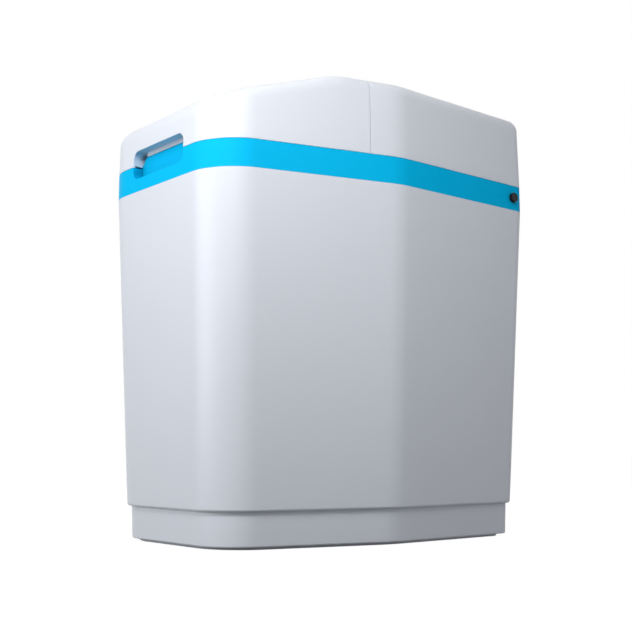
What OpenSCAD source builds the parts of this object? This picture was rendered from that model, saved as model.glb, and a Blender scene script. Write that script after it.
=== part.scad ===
// Cabinet water softener: a tapered salt cabinet with a resin tank, a motor-driven valve and a
// bypass inside. X is to the right, Y to the back, Z up. The origin is on the floor under the
// middle of the cabinet. All sizes are in millimetres and angles in degrees.

/* [Cabinet] */
// Width across the rear sides, at the colour band
body_w = 384; // [360:1:440]
// Depth from front to back, at the colour band
body_d = 463; // [440:1:520]
// Width of the front face between its virtual corners
front_w = 252; // [230:1:290]
// Distance from the front face back to the shoulder edges
shoulder_d = 227.5; // [205:0.5:245]
// Radius of the front corners
front_r = 64; // [40:1:70]
// Radius of the soft shoulder edges
shoulder_r = 120; // [60:1:180]
// Radius of the rear corners
rear_r = 18; // [10:1:20]
// Wall of the moulded shells
wall = 3; // [2:0.1:4]
// Draft angle of the cabinet sides
draft = 2.4; // [2:0.05:4]
// Height of the cabinet up to the colour band
cabinet_h = 430; // [400:1:480]
// Height of the plinth
plinth_h = 41.6; // [30:0.1:60]
// Depth of the step above the plinth
plinth_step = 5.5; // [3:0.5:8]
// Thickness of the cabinet floor
floor_t = 5; // [4:0.5:8]
// Height of the base skid
skid_h = 3; // [2:0.5:5]
// How far the skid stands in from the plinth
skid_inset = 6; // [3:0.5:12]
// Height of the tongue that the collar sits over
tongue_h = 5; // [4:0.5:8]

/* [Colour band collar] */
// Height of the colour band
band_h = 33.5; // [30:0.5:40]
// Distance from the outer face to the collar's inner lip
lip_inset = 13.5; // [12:0.5:16]
// Height of the inner lip above the band
lip_rise = 4.5; // [3:0.5:6]
// Thickness of the collar's shelf
shelf_t = 2.5; // [2:0.1:4]

/* [Grip pocket] */
// Width of the grip pocket
grip_w = 115; // [90:1:125]
// Depth of the pocket below the top of the band
grip_down = 16.5; // [12:0.5:19]
// Height of the pocket above the top of the band
grip_up = 19; // [14:0.5:24]
// Corner radius of the pocket
grip_r = 11; // [6:0.5:12]
// Wall of the pocket's lining
grip_wall = 2.5; // [2:0.1:3.5]
// Gap between the back lip and the roof of the pocket
grip_slot = 5.5; // [4:0.5:8]

/* [Lid and rear cover] */
// Height of the cover above the colour band
lid_h = 96.5; // [90:0.5:120]
// Slope of the front of the lid
lid_slope = 17.2; // [12:0.1:20]
// Distance from the front at which the top is flat
flat_from_front = 176; // [150:1:180]
// Length of the soft blend between slope and flat
slope_blend = 60; // [30:1:80]
// Radius of the rounded top edge
edge_r = 16; // [10:0.5:20]
// How far the lid leans in at the top
lid_lean = 1.5; // [0.5:0.1:3]
// Distance from the front to the seam between lid and cover
seam_from_front = 187.5; // [182:0.5:200]
// Width of the seam
seam_gap = 0.8; // [0.6:0.1:2]
// Distance from the seam back to the hinge axis
hinge_back = 10; // [8:0.5:14]
// Radius of the hinge knuckles
knuckle_r = 3.2; // [2.8:0.1:3.4]
// Radius of the hinge pin
hinge_pin_r = 1.5; // [1:0.1:2]
// Length of the row of knuckles
hinge_l = 140; // [100:1:160]
// Number of knuckles
knuckles = 7; // [5:2:9]

/* [Overflow plug] */
// Distance from the back to the overflow port
overflow_from_back = 27.5; // [27:0.5:40]
// Height of the overflow port above the cabinet
overflow_rise = 16.5; // [15:0.5:18]
// Width across the corners of the plug's hexagon
plug_hex = 14; // [12:0.5:16]
// Thickness of the plug's head
plug_head = 4.6; // [3:0.1:6]
// Radius of the plug's shank
plug_r = 4; // [3:0.1:5]

/* [Resin tank] */
// Radius of the resin tank
tank_r = 102; // [90:1:105]
// Wall of the resin tank
tank_wall = 3.5; // [2.5:0.1:5]
// Radius of the tank's neck
neck_r = 38; // [36:0.5:42]
// Radius of the neck's opening
neck_bore_r = 31; // [28:0.5:32]
// Height of the tank boot
boot_h = 52; // [40:1:70]
// Wall of the tank boot
boot_wall = 4.5; // [3:0.5:6]
// Radius of the riser tube
riser_r = 13.4; // [11:0.1:15]
// Height of the resin bed
resin_h = 180; // [120:1:200]

/* [Control valve] */
// Height of the ports above the top of the band
port_rise = 22.5; // [20:0.5:26]
// Distance between inlet and outlet
port_pitch = 64; // [60:1:72]
// Outer radius of the port tubes
port_r = 16; // [14:0.5:17]
// Radius of the waterways
water_r = 10.5; // [9:0.5:11.5]
// Outer radius of the piston barrel
barrel_r = 34; // [31:0.5:36]
// Bore radius of the piston barrel
barrel_bore_r = 24; // [23:0.5:27]
// Radius of the piston
piston_r = 19.6; // [18:0.1:20]
// Travel of the piston
piston_travel = 24; // [15:1:24]
// Radius of the piston rod
rod_r = 5; // [4:0.1:6]
// Teeth of the drive gear
gear_teeth = 40; // [36:1:40]
// Teeth of the motor pinion
pinion_teeth = 12; // [12:1:15]
// Module of the gears
gear_module = 1.25; // [1.2:0.05:1.3]
// Radius of the drive motor
motor_r = 20; // [16:1:22]

/* [Bypass] */
// Radius of the rotor housings
housing_r = 20; // [18:0.5:22]
// Radius of the bypass rotors
rotor_r = 14; // [13:0.5:15]
// Radius of the threaded nipples
nipple_r = 13.2; // [10:0.1:13.5]
// Length of the threaded nipples
nipple_l = 20; // [15:1:30]
// Radius of the drain spigot
drain_r = 6.5; // [5:0.5:8]

/* [Brine well] */
// Radius of the brine well
well_r = 40; // [36:1:42]
// Height of the brine well
well_h = 400; // [360:1:420]
// Radius of the float
float_r = 19; // [15:0.5:20]
// Rise of the float
float_travel = 20; // [10:1:30]
// Radius of the brine tube
tube_r = 4.75; // [4:0.05:5]

/* [Control panel] */
// Width of the control panel
panel_w = 150; // [130:1:170]
// Depth of the control panel
panel_d = 64; // [58:1:80]
// Radius of the buttons
button_r = 5.5; // [4:0.1:6.5]
// Travel of the buttons
button_travel = 1; // [0.5:0.1:1.5]

/* [Hidden] */

$fn = 96;
white = [0.93, 0.94, 0.96];
blue = [0.07, 0.74, 0.94];
black = [0.12, 0.12, 0.13];
grey = [0.55, 0.57, 0.60];
steel = [0.75, 0.76, 0.78];
// Gap between pieces that sit together, and radial gap of a running fit
fit = 0.3;
run = 0.05;
// Extra reach of a cut past the face that it opens
cut = 1;
// Steps in each front corner, shoulder, rear corner, side and rounded edge
corner_steps = 10;
shoulder_steps = 5;
rear_steps = 5;
side_steps = 10;
edge_steps = 5;

half_w = body_w / 2;
half_d = body_d / 2;
front_y = -half_d;
seam_y = front_y + seam_from_front;
band_top = cabinet_h + band_h;
lid_top = band_top + lid_h;
lid_z = band_top + fit;
lip_z = band_top + lip_rise;
shelf_z = cabinet_h + tongue_h + fit;
floor_z = skid_h + floor_t;
hinge_y = seam_y + hinge_back;
hinge_z = lid_top - knuckle_r - fit;
port_z = band_top + port_rise;
grip_z = band_top - grip_down;
grip_top = band_top + grip_up;
grip_back = front_y + lip_inset;
overflow_y = half_d - overflow_from_back;
overflow_z = cabinet_h + overflow_rise;
// Thickness of the overflow gasket and nut
gasket_t = 0.8;
plug_nut_t = 4;
// Height of the soft shadow line above the plinth
step_slope = 1.5;
// Width of the collar's tongue seat and of the chamfer on the raised lip
tongue_t = 2.5;
lip_chamfer = 6;
// Length of each knuckle's root in its shell, past the seam or the axis
knuckle_root = 9;
// Back end of the slot that the lid's knuckles turn in
hinge_slot_y = hinge_y + knuckle_r + 2 * fit;
// Partition between the salt and the valve
partition_y = seam_y + 5;

// Inset of the tapered cabinet side at height z
function side_in(z) = (cabinet_h - z) * tan(draft);

// Height of the lid's top face at depth y: a slope, a soft blend and a flat
function top_z(y) =
    let (u = y - front_y - flat_from_front + slope_blend, s = tan(lid_slope))
    u >= slope_blend ? lid_top
    : u >= 0 ? lid_top - s * (slope_blend - u) ^ 2 / (2 * slope_blend)
    : lid_top - s * (slope_blend / 2 - u);

function unit(v) = v / norm(v);

// Points of a rounded convex corner at p, walking from before to after
function corner_points(p, before, after, r, steps) =
    let (u = unit(before - p), v = unit(after - p), half = acos(u * v) / 2)
    let (c = p + unit(u + v) * r / sin(half), start = p + u * r / tan(half) - c)
    let (a = atan2(start.y, start.x), turn = 180 - 2 * half)
    [for (k = [0:steps]) c + r * [cos(a + turn * k / steps), sin(a + turn * k / steps)]];

// Right half of the plan outline, from the front to the back, moved in by inset
function half_outline(inset, shrink, sides) =
    let (fy = front_y + inset, by = half_d - inset, sx = half_w - inset)
    let (d = unit([half_w - front_w / 2, shoulder_d]), n = [d.y, -d.x])
    let (c = n * [front_w / 2, front_y] - inset)
    let (corner = [(c - n.y * fy) / n.x, fy], shoulder = [sx, (c - n.x * sx) / n.y])
    let (back = [sx, by])
    let (f = corner_points(corner, [0, fy], shoulder, max(front_r - shrink, wall), corner_steps))
    let (s = corner_points(shoulder, corner, back, max(shoulder_r - shrink, wall), shoulder_steps))
    let (b = corner_points(back, shoulder, [0, by], max(rear_r - shrink, wall), rear_steps))
    let (from = f[corner_steps], step = (s[0] - from) / (sides + 1))
    concat(f, [for (k = [1:1:sides]) from + step * k], s, b);

// Whole plan outline: the right half, then its mirror image walked back to the front
function outline(inset, shrink, sides = 0) =
    let (h = half_outline(inset, shrink, sides))
    concat(h, [for (k = [len(h) - 1:-1:0]) [-h[k].x, h[k].y]]);

function level_ring(inset, shrink, z) = [for (p = outline(inset, shrink)) [p.x, p.y, z]];

function lid_base_ring(inset) = [for (p = outline(inset, inset, side_steps)) [p.x, p.y, lid_z]];

function lid_ring(inset, drop) =
    [for (p = outline(inset, inset, side_steps)) [p.x, p.y, top_z(p.y) - drop]];

// Rings of a rounded lid edge of radius r whose face stands in by inset and down by drop
function edge_rings(inset, drop, r) =
    [for (k = [0:edge_steps])
        let (a = 90 * k / edge_steps)
        lid_ring(inset + r * (1 - cos(a)), drop + r * (1 - sin(a)))];

function reversed(list) = [for (k = [len(list) - 1:-1:0]) list[k]];

// Skin over a row of rings, capped at both ends or closed into a loop
module loft(rings, loop = false) {
    n = len(rings[0]);
    m = len(rings);
    sides = [for (r = [0:m - (loop ? 1 : 2)], i = [0:n - 1])
        let (j = (i + 1) % n, a = r * n, b = ((r + 1) % m) * n)
        each [[a + i, b + i, b + j], [a + i, b + j, a + j]]];
    top = (m - 1) * n;
    caps = [for (i = [0:n / 2 - 2])
        let (j = n - 1 - i)
        each [[i, i + 1, j - 1], [i, j - 1, j],
              [top + i, top + j, top + j - 1], [top + i, top + j - 1, top + i + 1]]];
    polyhedron([for (r = rings) each r], loop ? sides : concat(sides, caps), convexity = 6);
}

module block(low, high) translate(low) cube(high - low);
module bar_x(r, x0, x1, y, z) translate([x0, y, z]) rotate([0, 90, 0]) cylinder(r = r, h = x1 - x0);
module bar_y(r, y0, y1, x, z) translate([x, y1, z]) rotate([90, 0, 0]) cylinder(r = r, h = y1 - y0);
module bar_z(r, z0, z1, x, y) translate([x, y, z0]) cylinder(r = r, h = z1 - z0);

// Flat rounded plate on its middle, built from true cylinders
module plate(w, d, h, r) {
    block([-w / 2 + r, -d / 2, 0], [w / 2 - r, d / 2, h]);
    block([-w / 2, -d / 2 + r, 0], [w / 2, d / 2 - r, h]);
    for (x = [-w / 2 + r, w / 2 - r], y = [-d / 2 + r, d / 2 - r])
        translate([x, y, 0]) cylinder(r = r, h = h);
}

// Rounded grip pocket shape, grown on all sides, from y0 back to y1
module grip_prism(grow, y0, y1) {
    h = grip_top - grip_z + 2 * grow;
    translate([0, y1, (grip_z + grip_top) / 2])
        rotate([90, 0, 0]) plate(grip_w + 2 * grow, h, y1 - y0, grip_r + grow);
}

// Screws of the skid: distance from the front's, back's and sides' edges
screw_end = 82;
screw_front_side = 46;
screw_rear_side = 70;
screw_spots = [for (s = [-1, 1]) each
    [[s * (front_w / 2 - screw_front_side), front_y + screw_end],
     [s * (half_w - screw_rear_side), half_d - screw_end]]];
screw_head_r = 5;
screw_head_h = 2;
screw_r = 2;
screw_bite = floor_t - cut;

module cabinet() color(white) difference() {
    loft([
        level_ring(side_in(skid_h) + plinth_step, plinth_step, skid_h),
        level_ring(side_in(plinth_h) + plinth_step, plinth_step, plinth_h),
        level_ring(side_in(plinth_h + step_slope), 0, plinth_h + step_slope),
        level_ring(0, 0, cabinet_h),
        level_ring(wall + fit, wall, cabinet_h),
        level_ring(wall + fit, wall, cabinet_h + tongue_h),
        level_ring(wall + fit + tongue_t, wall + tongue_t, cabinet_h + tongue_h),
        level_ring(wall + fit + tongue_t, wall + tongue_t, cabinet_h - 2 * tongue_h),
        level_ring(side_in(plinth_h + plinth_step) + wall, wall, plinth_h + plinth_step),
        level_ring(side_in(plinth_h) + plinth_step + wall, plinth_step + wall, plinth_h - plinth_step),
        level_ring(side_in(floor_z) + plinth_step + wall, plinth_step + wall, floor_z)
    ]);
    for (p = screw_spots) bar_z(screw_r + run, skid_h - cut, skid_h + screw_bite + fit, p.x, p.y);
}

module base_skid() color(grey) difference() {
    linear_extrude(skid_h) polygon(outline(side_in(0) + plinth_step + skid_inset, plinth_step + skid_inset));
    for (p = screw_spots) {
        bar_z(screw_head_r + fit, -cut, screw_head_h, p.x, p.y);
        bar_z(screw_r + fit, -cut, skid_h + cut, p.x, p.y);
    }
}

module base_screws() color(steel) for (p = screw_spots) {
    bar_z(screw_head_r, fit, screw_head_h, p.x, p.y);
    bar_z(screw_r, fit, skid_h + screw_bite, p.x, p.y);
}

// Raised back lip of the grip pocket, with chamfered ends
module grip_lip() {
    w = grip_w / 2 - wall;
    top = grip_top - grip_slot;
    translate([0, grip_back + wall, 0]) rotate([90, 0, 0]) linear_extrude(wall)
        polygon([[-w, shelf_z], [w, shelf_z], [w, top - lip_chamfer], [w - lip_chamfer, top],
            [lip_chamfer - w, top], [-w, top - lip_chamfer]]);
}

module rim_collar() color(blue) difference() {
    union() {
        difference() {
            loft([
                level_ring(0, 0, cabinet_h),
                level_ring(0, 0, band_top),
                level_ring(wall, wall, band_top),
                level_ring(wall, wall, shelf_z + shelf_t),
                level_ring(lip_inset, lip_inset, shelf_z + shelf_t),
                level_ring(lip_inset, lip_inset, lip_z),
                level_ring(lip_inset + wall, lip_inset + wall, lip_z),
                level_ring(lip_inset + wall, lip_inset + wall, shelf_z),
                level_ring(wall, wall, shelf_z),
                level_ring(wall, wall, cabinet_h)
            ], loop = true);
            grip_prism(0, front_y - cut, front_y + lip_inset / 2);
        }
        difference() {
            grip_prism(grip_wall, front_y + wall / 2, grip_back + wall / 2);
            grip_prism(0, front_y, grip_back);
            block([-grip_w, front_y, band_top], [grip_w, grip_back + wall, grip_top + grip_w]);
        }
        grip_lip();
    }
    bar_x(plug_r + fit, half_w - wall - cut, half_w + cut, overflow_y, overflow_z);
}

module overflow_plug() color(black) {
    translate([half_w + gasket_t, overflow_y, overflow_z]) rotate([0, 90, 0])
        cylinder(d = plug_hex, h = plug_head, $fn = 6);
    bar_x(plug_r, half_w - lip_inset + wall, half_w + gasket_t + plug_head / 2, overflow_y, overflow_z);
}

module overflow_gasket() color(black) difference() {
    bar_x(plug_hex / 2 - cut, half_w, half_w + gasket_t, overflow_y, overflow_z);
    bar_x(plug_r + fit, half_w - cut, half_w + gasket_t + cut, overflow_y, overflow_z);
}

module overflow_nut() color(black) difference() {
    translate([half_w - wall - plug_nut_t, overflow_y, overflow_z]) rotate([0, 90, 0])
        cylinder(d = plug_hex, h = plug_nut_t, $fn = 6);
    bar_x(plug_r + run, half_w - wall - plug_nut_t - cut, half_w, overflow_y, overflow_z);
}

// Whole lid, before the seam parts it into salt lid and rear cover
module lid_shell() {
    inner_r = edge_r - wall;
    loft(concat(
        reversed(edge_rings(lid_lean + wall, wall, inner_r)),
        [lid_base_ring(wall), lid_base_ring(0)],
        edge_rings(lid_lean, 0, edge_r)
    ));
}

// Row of hinge knuckles from the first one on, each with a root that reaches to y = far
module knuckle_row(first, far) {
    pitch = hinge_l / knuckles;
    for (k = [first:2:knuckles - 1]) {
        x0 = -hinge_l / 2 + k * pitch + fit / 2;
        x1 = x0 + pitch - fit;
        difference() {
            union() {
                bar_x(knuckle_r, x0, x1, hinge_y, hinge_z);
                block([x0, min(hinge_y, far), hinge_z - knuckle_r],
                    [x1, max(hinge_y, far), lid_top - wall / 2]);
            }
            bar_x(hinge_pin_r + run, x0 - cut, x1 + cut, hinge_y, hinge_z);
        }
    }
}

module hinge_slot() block([-hinge_l / 2 - fit, seam_y, hinge_z - knuckle_r - cut],
    [hinge_l / 2 + fit, hinge_slot_y, lid_top + cut]);

module salt_lid() color(white) {
    roof = grip_top + grip_wall;
    difference() {
        lid_shell();
        block([-body_w, seam_y - seam_gap / 2, 0], [body_w, body_d, lid_top + cut]);
        grip_prism(0, front_y - cut, front_y + lip_inset / 2);
    }
    difference() {
        grip_prism(grip_wall, front_y + wall / 2, grip_back - fit);
        grip_prism(0, front_y, grip_back);
        block([-grip_w, front_y, 0], [grip_w, grip_back, lid_z]);
    }
    block([-grip_w / 2 + grip_r, grip_back - wall, grip_top], [grip_w / 2 - grip_r, grip_back + wall, roof]);
    block([-grip_w / 2 + grip_r, grip_back + fit, grip_top - grip_slot + 2 * fit],
        [grip_w / 2 - grip_r, grip_back + wall, roof]);
    knuckle_row(1, seam_y - knuckle_root);
}

// Drain connection beside the outlet
drain_body_r = 10;
drain_boss_l = 10;
drain_boss_x = port_pitch / 2 + port_r + drain_boss_l;
drain_neck_l = 6;
drain_x = drain_boss_x + drain_body_r + drain_neck_l;
// Opening for the ports in the back of the cover
notch_w = 2 * (drain_x + drain_body_r + 4 * cut);
notch_z = port_z + port_r + cut;
panel_from_seam = 75;
panel_y = seam_y + panel_from_seam;
panel_r = 6;
panel_lip = 4;
panel_lip_t = 2;
panel_top = lid_top - fit;
panel_under = lid_top - wall - panel_lip_t;
power_from_notch = 32;
power_x = notch_w / 2 + power_from_notch;
power_z = (notch_z + lid_top - edge_r - cut) / 2;
power_r = 5.5;
power_flange_r = 7.5;
// Outer face of the leaning rear wall at height z
function rear_face(z) = half_d - lid_lean * (z - lid_z) / (lid_top - edge_r - lid_z);

module lid_core() loft(concat([lid_base_ring(wall / 2)], edge_rings(lid_lean + wall / 2, wall / 2, edge_r)));

module rear_cover() color(white) {
    difference() {
        lid_shell();
        block([-body_w, -body_d, 0], [body_w, seam_y + seam_gap / 2, lid_top + cut]);
        hinge_slot();
        block([-notch_w / 2, half_d - lid_lean - 2 * wall, 0], [notch_w / 2, half_d + cut, notch_z]);
        translate([0, panel_y, lid_top - 2 * wall])
            plate(panel_w + 2 * fit, panel_d + 2 * fit, 3 * wall, panel_r + fit);
        bar_y(power_r + fit, half_d - lid_lean - 2 * wall, half_d + cut, power_x, power_z);
    }
    intersection() {
        lid_core();
        block([-half_w, partition_y, lip_z + fit], [half_w, partition_y + wall, hinge_z - knuckle_r - fit]);
    }
    knuckle_row(0, hinge_y + knuckle_root);
}

module hinge_pin() color(steel) bar_x(hinge_pin_r, -hinge_l / 2, hinge_l / 2, hinge_y, hinge_z);

lens_w = 72;
lens_d = 34;
lens_t = 2;
lens_ledge = 3;
lens_x = -panel_w / 2 + panel_r + lens_ledge + lens_w / 2;
button_pitch = 26;
button_from_lens = 24;
button_x = lens_x + lens_w / 2 + button_from_lens;
button_lip = 1.5;
button_lip_t = 1.2;
board_gap = 8;
board_t = 1.6;
board_margin = 7;
board_post_r = 2.5;
switch_w = 6;
stem_l = 1.5;
switch_h = board_gap - button_lip_t - 2 * fit - button_travel - stem_l;
function button_spot(column, row) =
    [button_x + column * button_pitch, panel_y + (row - 0.5) * button_pitch];

module control_panel() color(black) difference() {
    union() {
        translate([0, panel_y, panel_under])
            plate(panel_w + 2 * panel_lip, panel_d + 2 * panel_lip, panel_lip_t, panel_r + panel_lip);
        translate([0, panel_y, panel_under]) plate(panel_w, panel_d, panel_top - panel_under, panel_r);
        for (x = [-1, 1], y = [-1, 1])
            bar_z(board_post_r, panel_under - board_gap, panel_under + cut,
                x * (panel_w / 2 - board_margin), panel_y + y * (panel_d / 2 - board_margin));
    }
    translate([lens_x, panel_y, panel_top - lens_t]) plate(lens_w, lens_d, lens_t + cut, lens_ledge);
    translate([lens_x, panel_y, panel_under - cut])
        plate(lens_w - 2 * lens_ledge, lens_d - 2 * lens_ledge, panel_top, lens_ledge);
    for (c = [0, 1], r = [0, 1])
        bar_z(button_r + fit, panel_under - cut, panel_top + cut, button_spot(c, r).x, button_spot(c, r).y);
}

module display_lens() color([0.1, 0.14, 0.18]) translate([lens_x, panel_y, panel_top - lens_t])
    plate(lens_w - fit, lens_d - fit, lens_t, lens_ledge - fit / 2);

// Push button with a retaining lip and a stem over its switch
module push_button(spot) color(grey) {
    lip_top = panel_under - fit;
    bar_z(button_r, lip_top - button_lip_t, lid_top, spot.x, spot.y);
    bar_z(button_r + button_lip, lip_top - button_lip_t, lip_top, spot.x, spot.y);
    bar_z(switch_w / 4, lip_top - button_lip_t - stem_l, lip_top, spot.x, spot.y);
}

module menu_button() push_button(button_spot(0, 1));
module up_button() push_button(button_spot(1, 1));
module down_button() push_button(button_spot(1, 0));
module start_button() push_button(button_spot(0, 0));

module circuit_board() color([0.1, 0.4, 0.2]) {
    top = panel_under - board_gap;
    block([-panel_w / 2 + board_margin / 2, panel_y - panel_d / 2 + board_margin / 2, top - board_t],
        [panel_w / 2 - board_margin / 2, panel_y + panel_d / 2 - board_margin / 2, top]);
    block([lens_x - lens_w / 2 + lens_ledge, panel_y - lens_d / 2, top - board_t / 2],
        [lens_x + lens_w / 2 - lens_ledge, panel_y + lens_d / 2, panel_under - fit]);
    for (c = [0, 1], r = [0, 1]) {
        s = button_spot(c, r);
        block([s.x - switch_w / 2, s.y - switch_w / 2, top - board_t / 2],
            [s.x + switch_w / 2, s.y + switch_w / 2, top + switch_h]);
    }
}

power_l = 14;
power_nut_t = 3;
module power_inlet() color(black) difference() {
    face = rear_face(power_z) + fit;
    union() {
        bar_y(power_flange_r, face, face + power_r / 3, power_x, power_z);
        bar_y(power_r, face - power_l, face + power_r / 3, power_x, power_z);
    }
    difference() {
        bar_y(power_r / 2, face - power_l * 0.7, face + power_r, power_x, power_z);
        bar_y(power_r / 5, face - power_l, face, power_x, power_z);
    }
}

module power_inlet_nut() color(steel) difference() {
    back = rear_face(power_z) - wall - fit;
    translate([power_x, back, power_z]) rotate([90, 0, 0])
        cylinder(r = power_flange_r + cut, h = power_nut_t, $fn = 6);
    bar_y(power_r + run, back - power_nut_t - cut, back + cut, power_x, power_z);
}

// Resin tank standing at the back of the cabinet, with the valve on its neck
port_drop = 56;
barrel_z = port_z - port_drop;
neck_drop = 86;
neck_z = barrel_z - neck_drop;
boot_r = tank_r + fit + boot_wall;
tank_z = floor_z + boot_wall + fit;
dome_low = 30;
dome_high = 55;
neck_l = 18;
tank_margin = 8.3;
tank_y = half_d - side_in(floor_z) - plinth_step - wall - boot_r - tank_margin;
dome_steps = 8;

// Tank outline moved in by t: a low dome, a straight wall, a shoulder dome and the neck
function tank_outline(t, neck, top) = concat(
    [for (k = [0:dome_steps])
        let (a = 90 * k / dome_steps)
        [(tank_r - t) * sin(a), tank_z + dome_low - (dome_low - t) * cos(a)]],
    [for (k = [0:dome_steps])
        let (a = 90 * k / dome_steps)
        [neck + (tank_r - t - neck) * cos(a), neck_z - neck_l - dome_high + (dome_high - t) * sin(a)]],
    [[neck, top], [0, top]]);

module resin_tank() color([0.25, 0.3, 0.36]) translate([0, tank_y, 0]) difference() {
    rotate_extrude() polygon(tank_outline(0, neck_r, neck_z));
    rotate_extrude() polygon(tank_outline(tank_wall, neck_bore_r, neck_z + cut));
}

module tank_boot() color(black) difference() {
    bar_z(boot_r, floor_z, floor_z + boot_h, 0, tank_y);
    bar_z(tank_r + fit, floor_z + boot_wall, floor_z + boot_h + cut, 0, tank_y);
}

strainer_r = 20;
strainer_l = dome_low;
riser_z = tank_z + tank_wall + cut + fit + strainer_l;
spigot_l = 15;
module resin_bed() color([0.72, 0.5, 0.2]) difference() {
    bar_z(tank_r - tank_wall - fit, riser_z + fit, riser_z + resin_h, 0, tank_y);
    bar_z(riser_r + fit, riser_z, riser_z + resin_h + cut, 0, tank_y);
}

module riser_tube() color(white) difference() {
    bar_z(riser_r, riser_z, neck_z, 0, tank_y);
    bar_z(riser_r - tank_wall / 2, riser_z - cut, neck_z + cut, 0, tank_y);
}

// Stack of thin discs on a core, as a slotted strainer
module strainer(core_r, disc_r, z0, z1, discs) {
    pitch = (z1 - z0) / discs;
    bar_z(core_r, z0, z1, 0, tank_y);
    for (k = [0:discs - 1]) bar_z(disc_r, z0 + k * pitch, z0 + (k + 0.6) * pitch, 0, tank_y);
}

module bottom_strainer() color(white) strainer(strainer_r * 0.8, strainer_r, riser_z - strainer_l, riser_z, 7);

module top_strainer() color(white) difference() {
    strainer(neck_bore_r * 0.8, neck_bore_r - cut, neck_z - 3 * spigot_l, neck_z - spigot_l, 7);
    bar_z(riser_r + fit, 0, neck_z, 0, tank_y);
}

neck_seal_r = 1.7;
flange_z = neck_z + 2 * (neck_seal_r + run);
module neck_seal() color(black) translate([0, tank_y, neck_z + neck_seal_r + run])
    rotate_extrude() translate([(neck_r + neck_bore_r) / 2, 0]) circle(r = neck_seal_r, $fn = 32);

// Control valve on the tank's neck: barrel along Y with the drive in front and the ports behind
flange_r = 52;
flange_t = 16;
column_r = 40;
// Reach of the barrel, its bore and the seal stack before and behind the tank's axis
barrel_fore = 52;
barrel_aft = 58;
bore_aft = 48;
stack_fore = 40;
barrel_front = tank_y - barrel_fore;
barrel_back = tank_y + barrel_aft;
bore_back = tank_y + bore_aft;
stack_front = tank_y - stack_fore;
seal_t = 4;
spacer_t = 16;
spacer_gap = 2;
seal_count = 5;
seal_pitch = seal_t + spacer_t;
ear_w = 44;
ear_t = 6;
port_x = port_pitch / 2;
port_reach = 20;
port_end = half_d + port_reach;
port_block_aft = 10;
port_block_y = tank_y + port_block_aft;
passage_r = 6;
passage_aft = 35;
boss_x = 52;
injector_r = 15;
injector_bore_r = 8;
injector_cap_t = 6;
injector_rim = 2;
brine_x = -50;
brine_drop = 10;
brine_z = barrel_z - brine_drop;
brine_boss_r = 9;
injector_screw_r = 1.5;
injector_screw_y = 11.5;
drain_aft = 33;
drain_y = tank_y + drain_aft;

module valve_body() color([0.2, 0.21, 0.23]) difference() {
    union() {
        bar_z(neck_bore_r - fit, neck_z - spigot_l, flange_z + cut, 0, tank_y);
        bar_z(flange_r, flange_z, flange_z + flange_t, 0, tank_y);
        bar_z(column_r, flange_z, barrel_z, 0, tank_y);
        bar_y(barrel_r, barrel_front, barrel_back, 0, barrel_z);
        block([-ear_w, barrel_front, barrel_z - ear_w], [ear_w, barrel_front + ear_t, barrel_z + ear_w]);
        block([-port_x - port_r, port_block_y, barrel_z], [port_x + port_r, barrel_back, port_z]);
        for (s = [-1, 1]) bar_y(port_r, port_block_y, port_end, s * port_x, port_z);
        bar_x(drain_body_r, port_x, drain_boss_x, drain_y, port_z);
        bar_x(injector_r, 0, boss_x, tank_y, barrel_z);
        bar_x(brine_boss_r, brine_x, 0, tank_y, brine_z);
    }
    bar_y(barrel_bore_r, barrel_front - cut, bore_back, 0, barrel_z);
    for (s = [-1, 1]) {
        bar_y(water_r, port_block_y + water_r, port_end + cut, s * port_x, port_z);
        bar_z(passage_r, barrel_z, port_z, s * (port_x - water_r), tank_y + passage_aft);
    }
    bar_z(riser_r + fit, neck_z - spigot_l - cut, neck_z + fit, 0, tank_y);
    bar_z(water_r, neck_z - cut, barrel_z, 0, tank_y);
    bar_x(drain_r * 0.6, port_x, drain_boss_x + cut, drain_y, port_z);
    bar_x(injector_bore_r, 0, boss_x + cut, tank_y, barrel_z);
    bar_x(tube_r * 0.6, brine_x - cut, 0, tank_y, brine_z);
    for (s = [-1, 1])
        bar_x(injector_screw_r + run, boss_x - injector_cap_t, boss_x + cut,
            tank_y + s * injector_screw_y, barrel_z);
}

module ring_y(outer, inner, y0, y1, x, z) difference() {
    bar_y(outer, y0, y1, x, z);
    bar_y(inner, y0 - cut, y1 + cut, x, z);
}

module piston_seals() color(black) for (k = [0:seal_count - 1])
    ring_y(barrel_bore_r - run, piston_r + fit, stack_front + k * seal_pitch,
        stack_front + k * seal_pitch + seal_t, 0, barrel_z);

module seal_spacers() color(white) for (k = [0:seal_count - 2]) difference() {
    y0 = stack_front + k * seal_pitch + seal_t;
    ring_y(barrel_bore_r - run, piston_r + spacer_gap, y0, y0 + spacer_t, 0, barrel_z);
    for (a = [0:60:120])
        translate([0, y0 + spacer_t / 2, barrel_z]) rotate([0, a, 0])
            cylinder(r = spacer_t / 3, h = 3 * barrel_bore_r, center = true);
}

plug_disc_t = 6;
plug_disc_r = barrel_r - cut;
piston_rest = 2;
piston_y = stack_front + piston_rest + piston_travel;
piston_clear = 4;
piston_end = bore_back - piston_clear;
piston_waist = 13;
rod_socket = 12;
module piston() color(white) difference() {
    bar_y(piston_r, piston_y, piston_end, 0, barrel_z);
    ring_y(piston_r + cut, piston_waist, piston_y + rod_socket, piston_y + rod_socket + spacer_t, 0, barrel_z);
    bar_y(rod_r + run, piston_y - cut, piston_y + rod_socket, 0, barrel_z);
}

plate_t = 3;
gear_space = 15;
plate_back = barrel_front - plug_disc_t - gear_space;
plate_front = plate_back - plate_t;
rod_reach = 6;
rod_front = plate_front - rod_reach;
module piston_rod() color(steel) bar_y(rod_r, rod_front, piston_y + rod_socket, 0, barrel_z);

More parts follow.
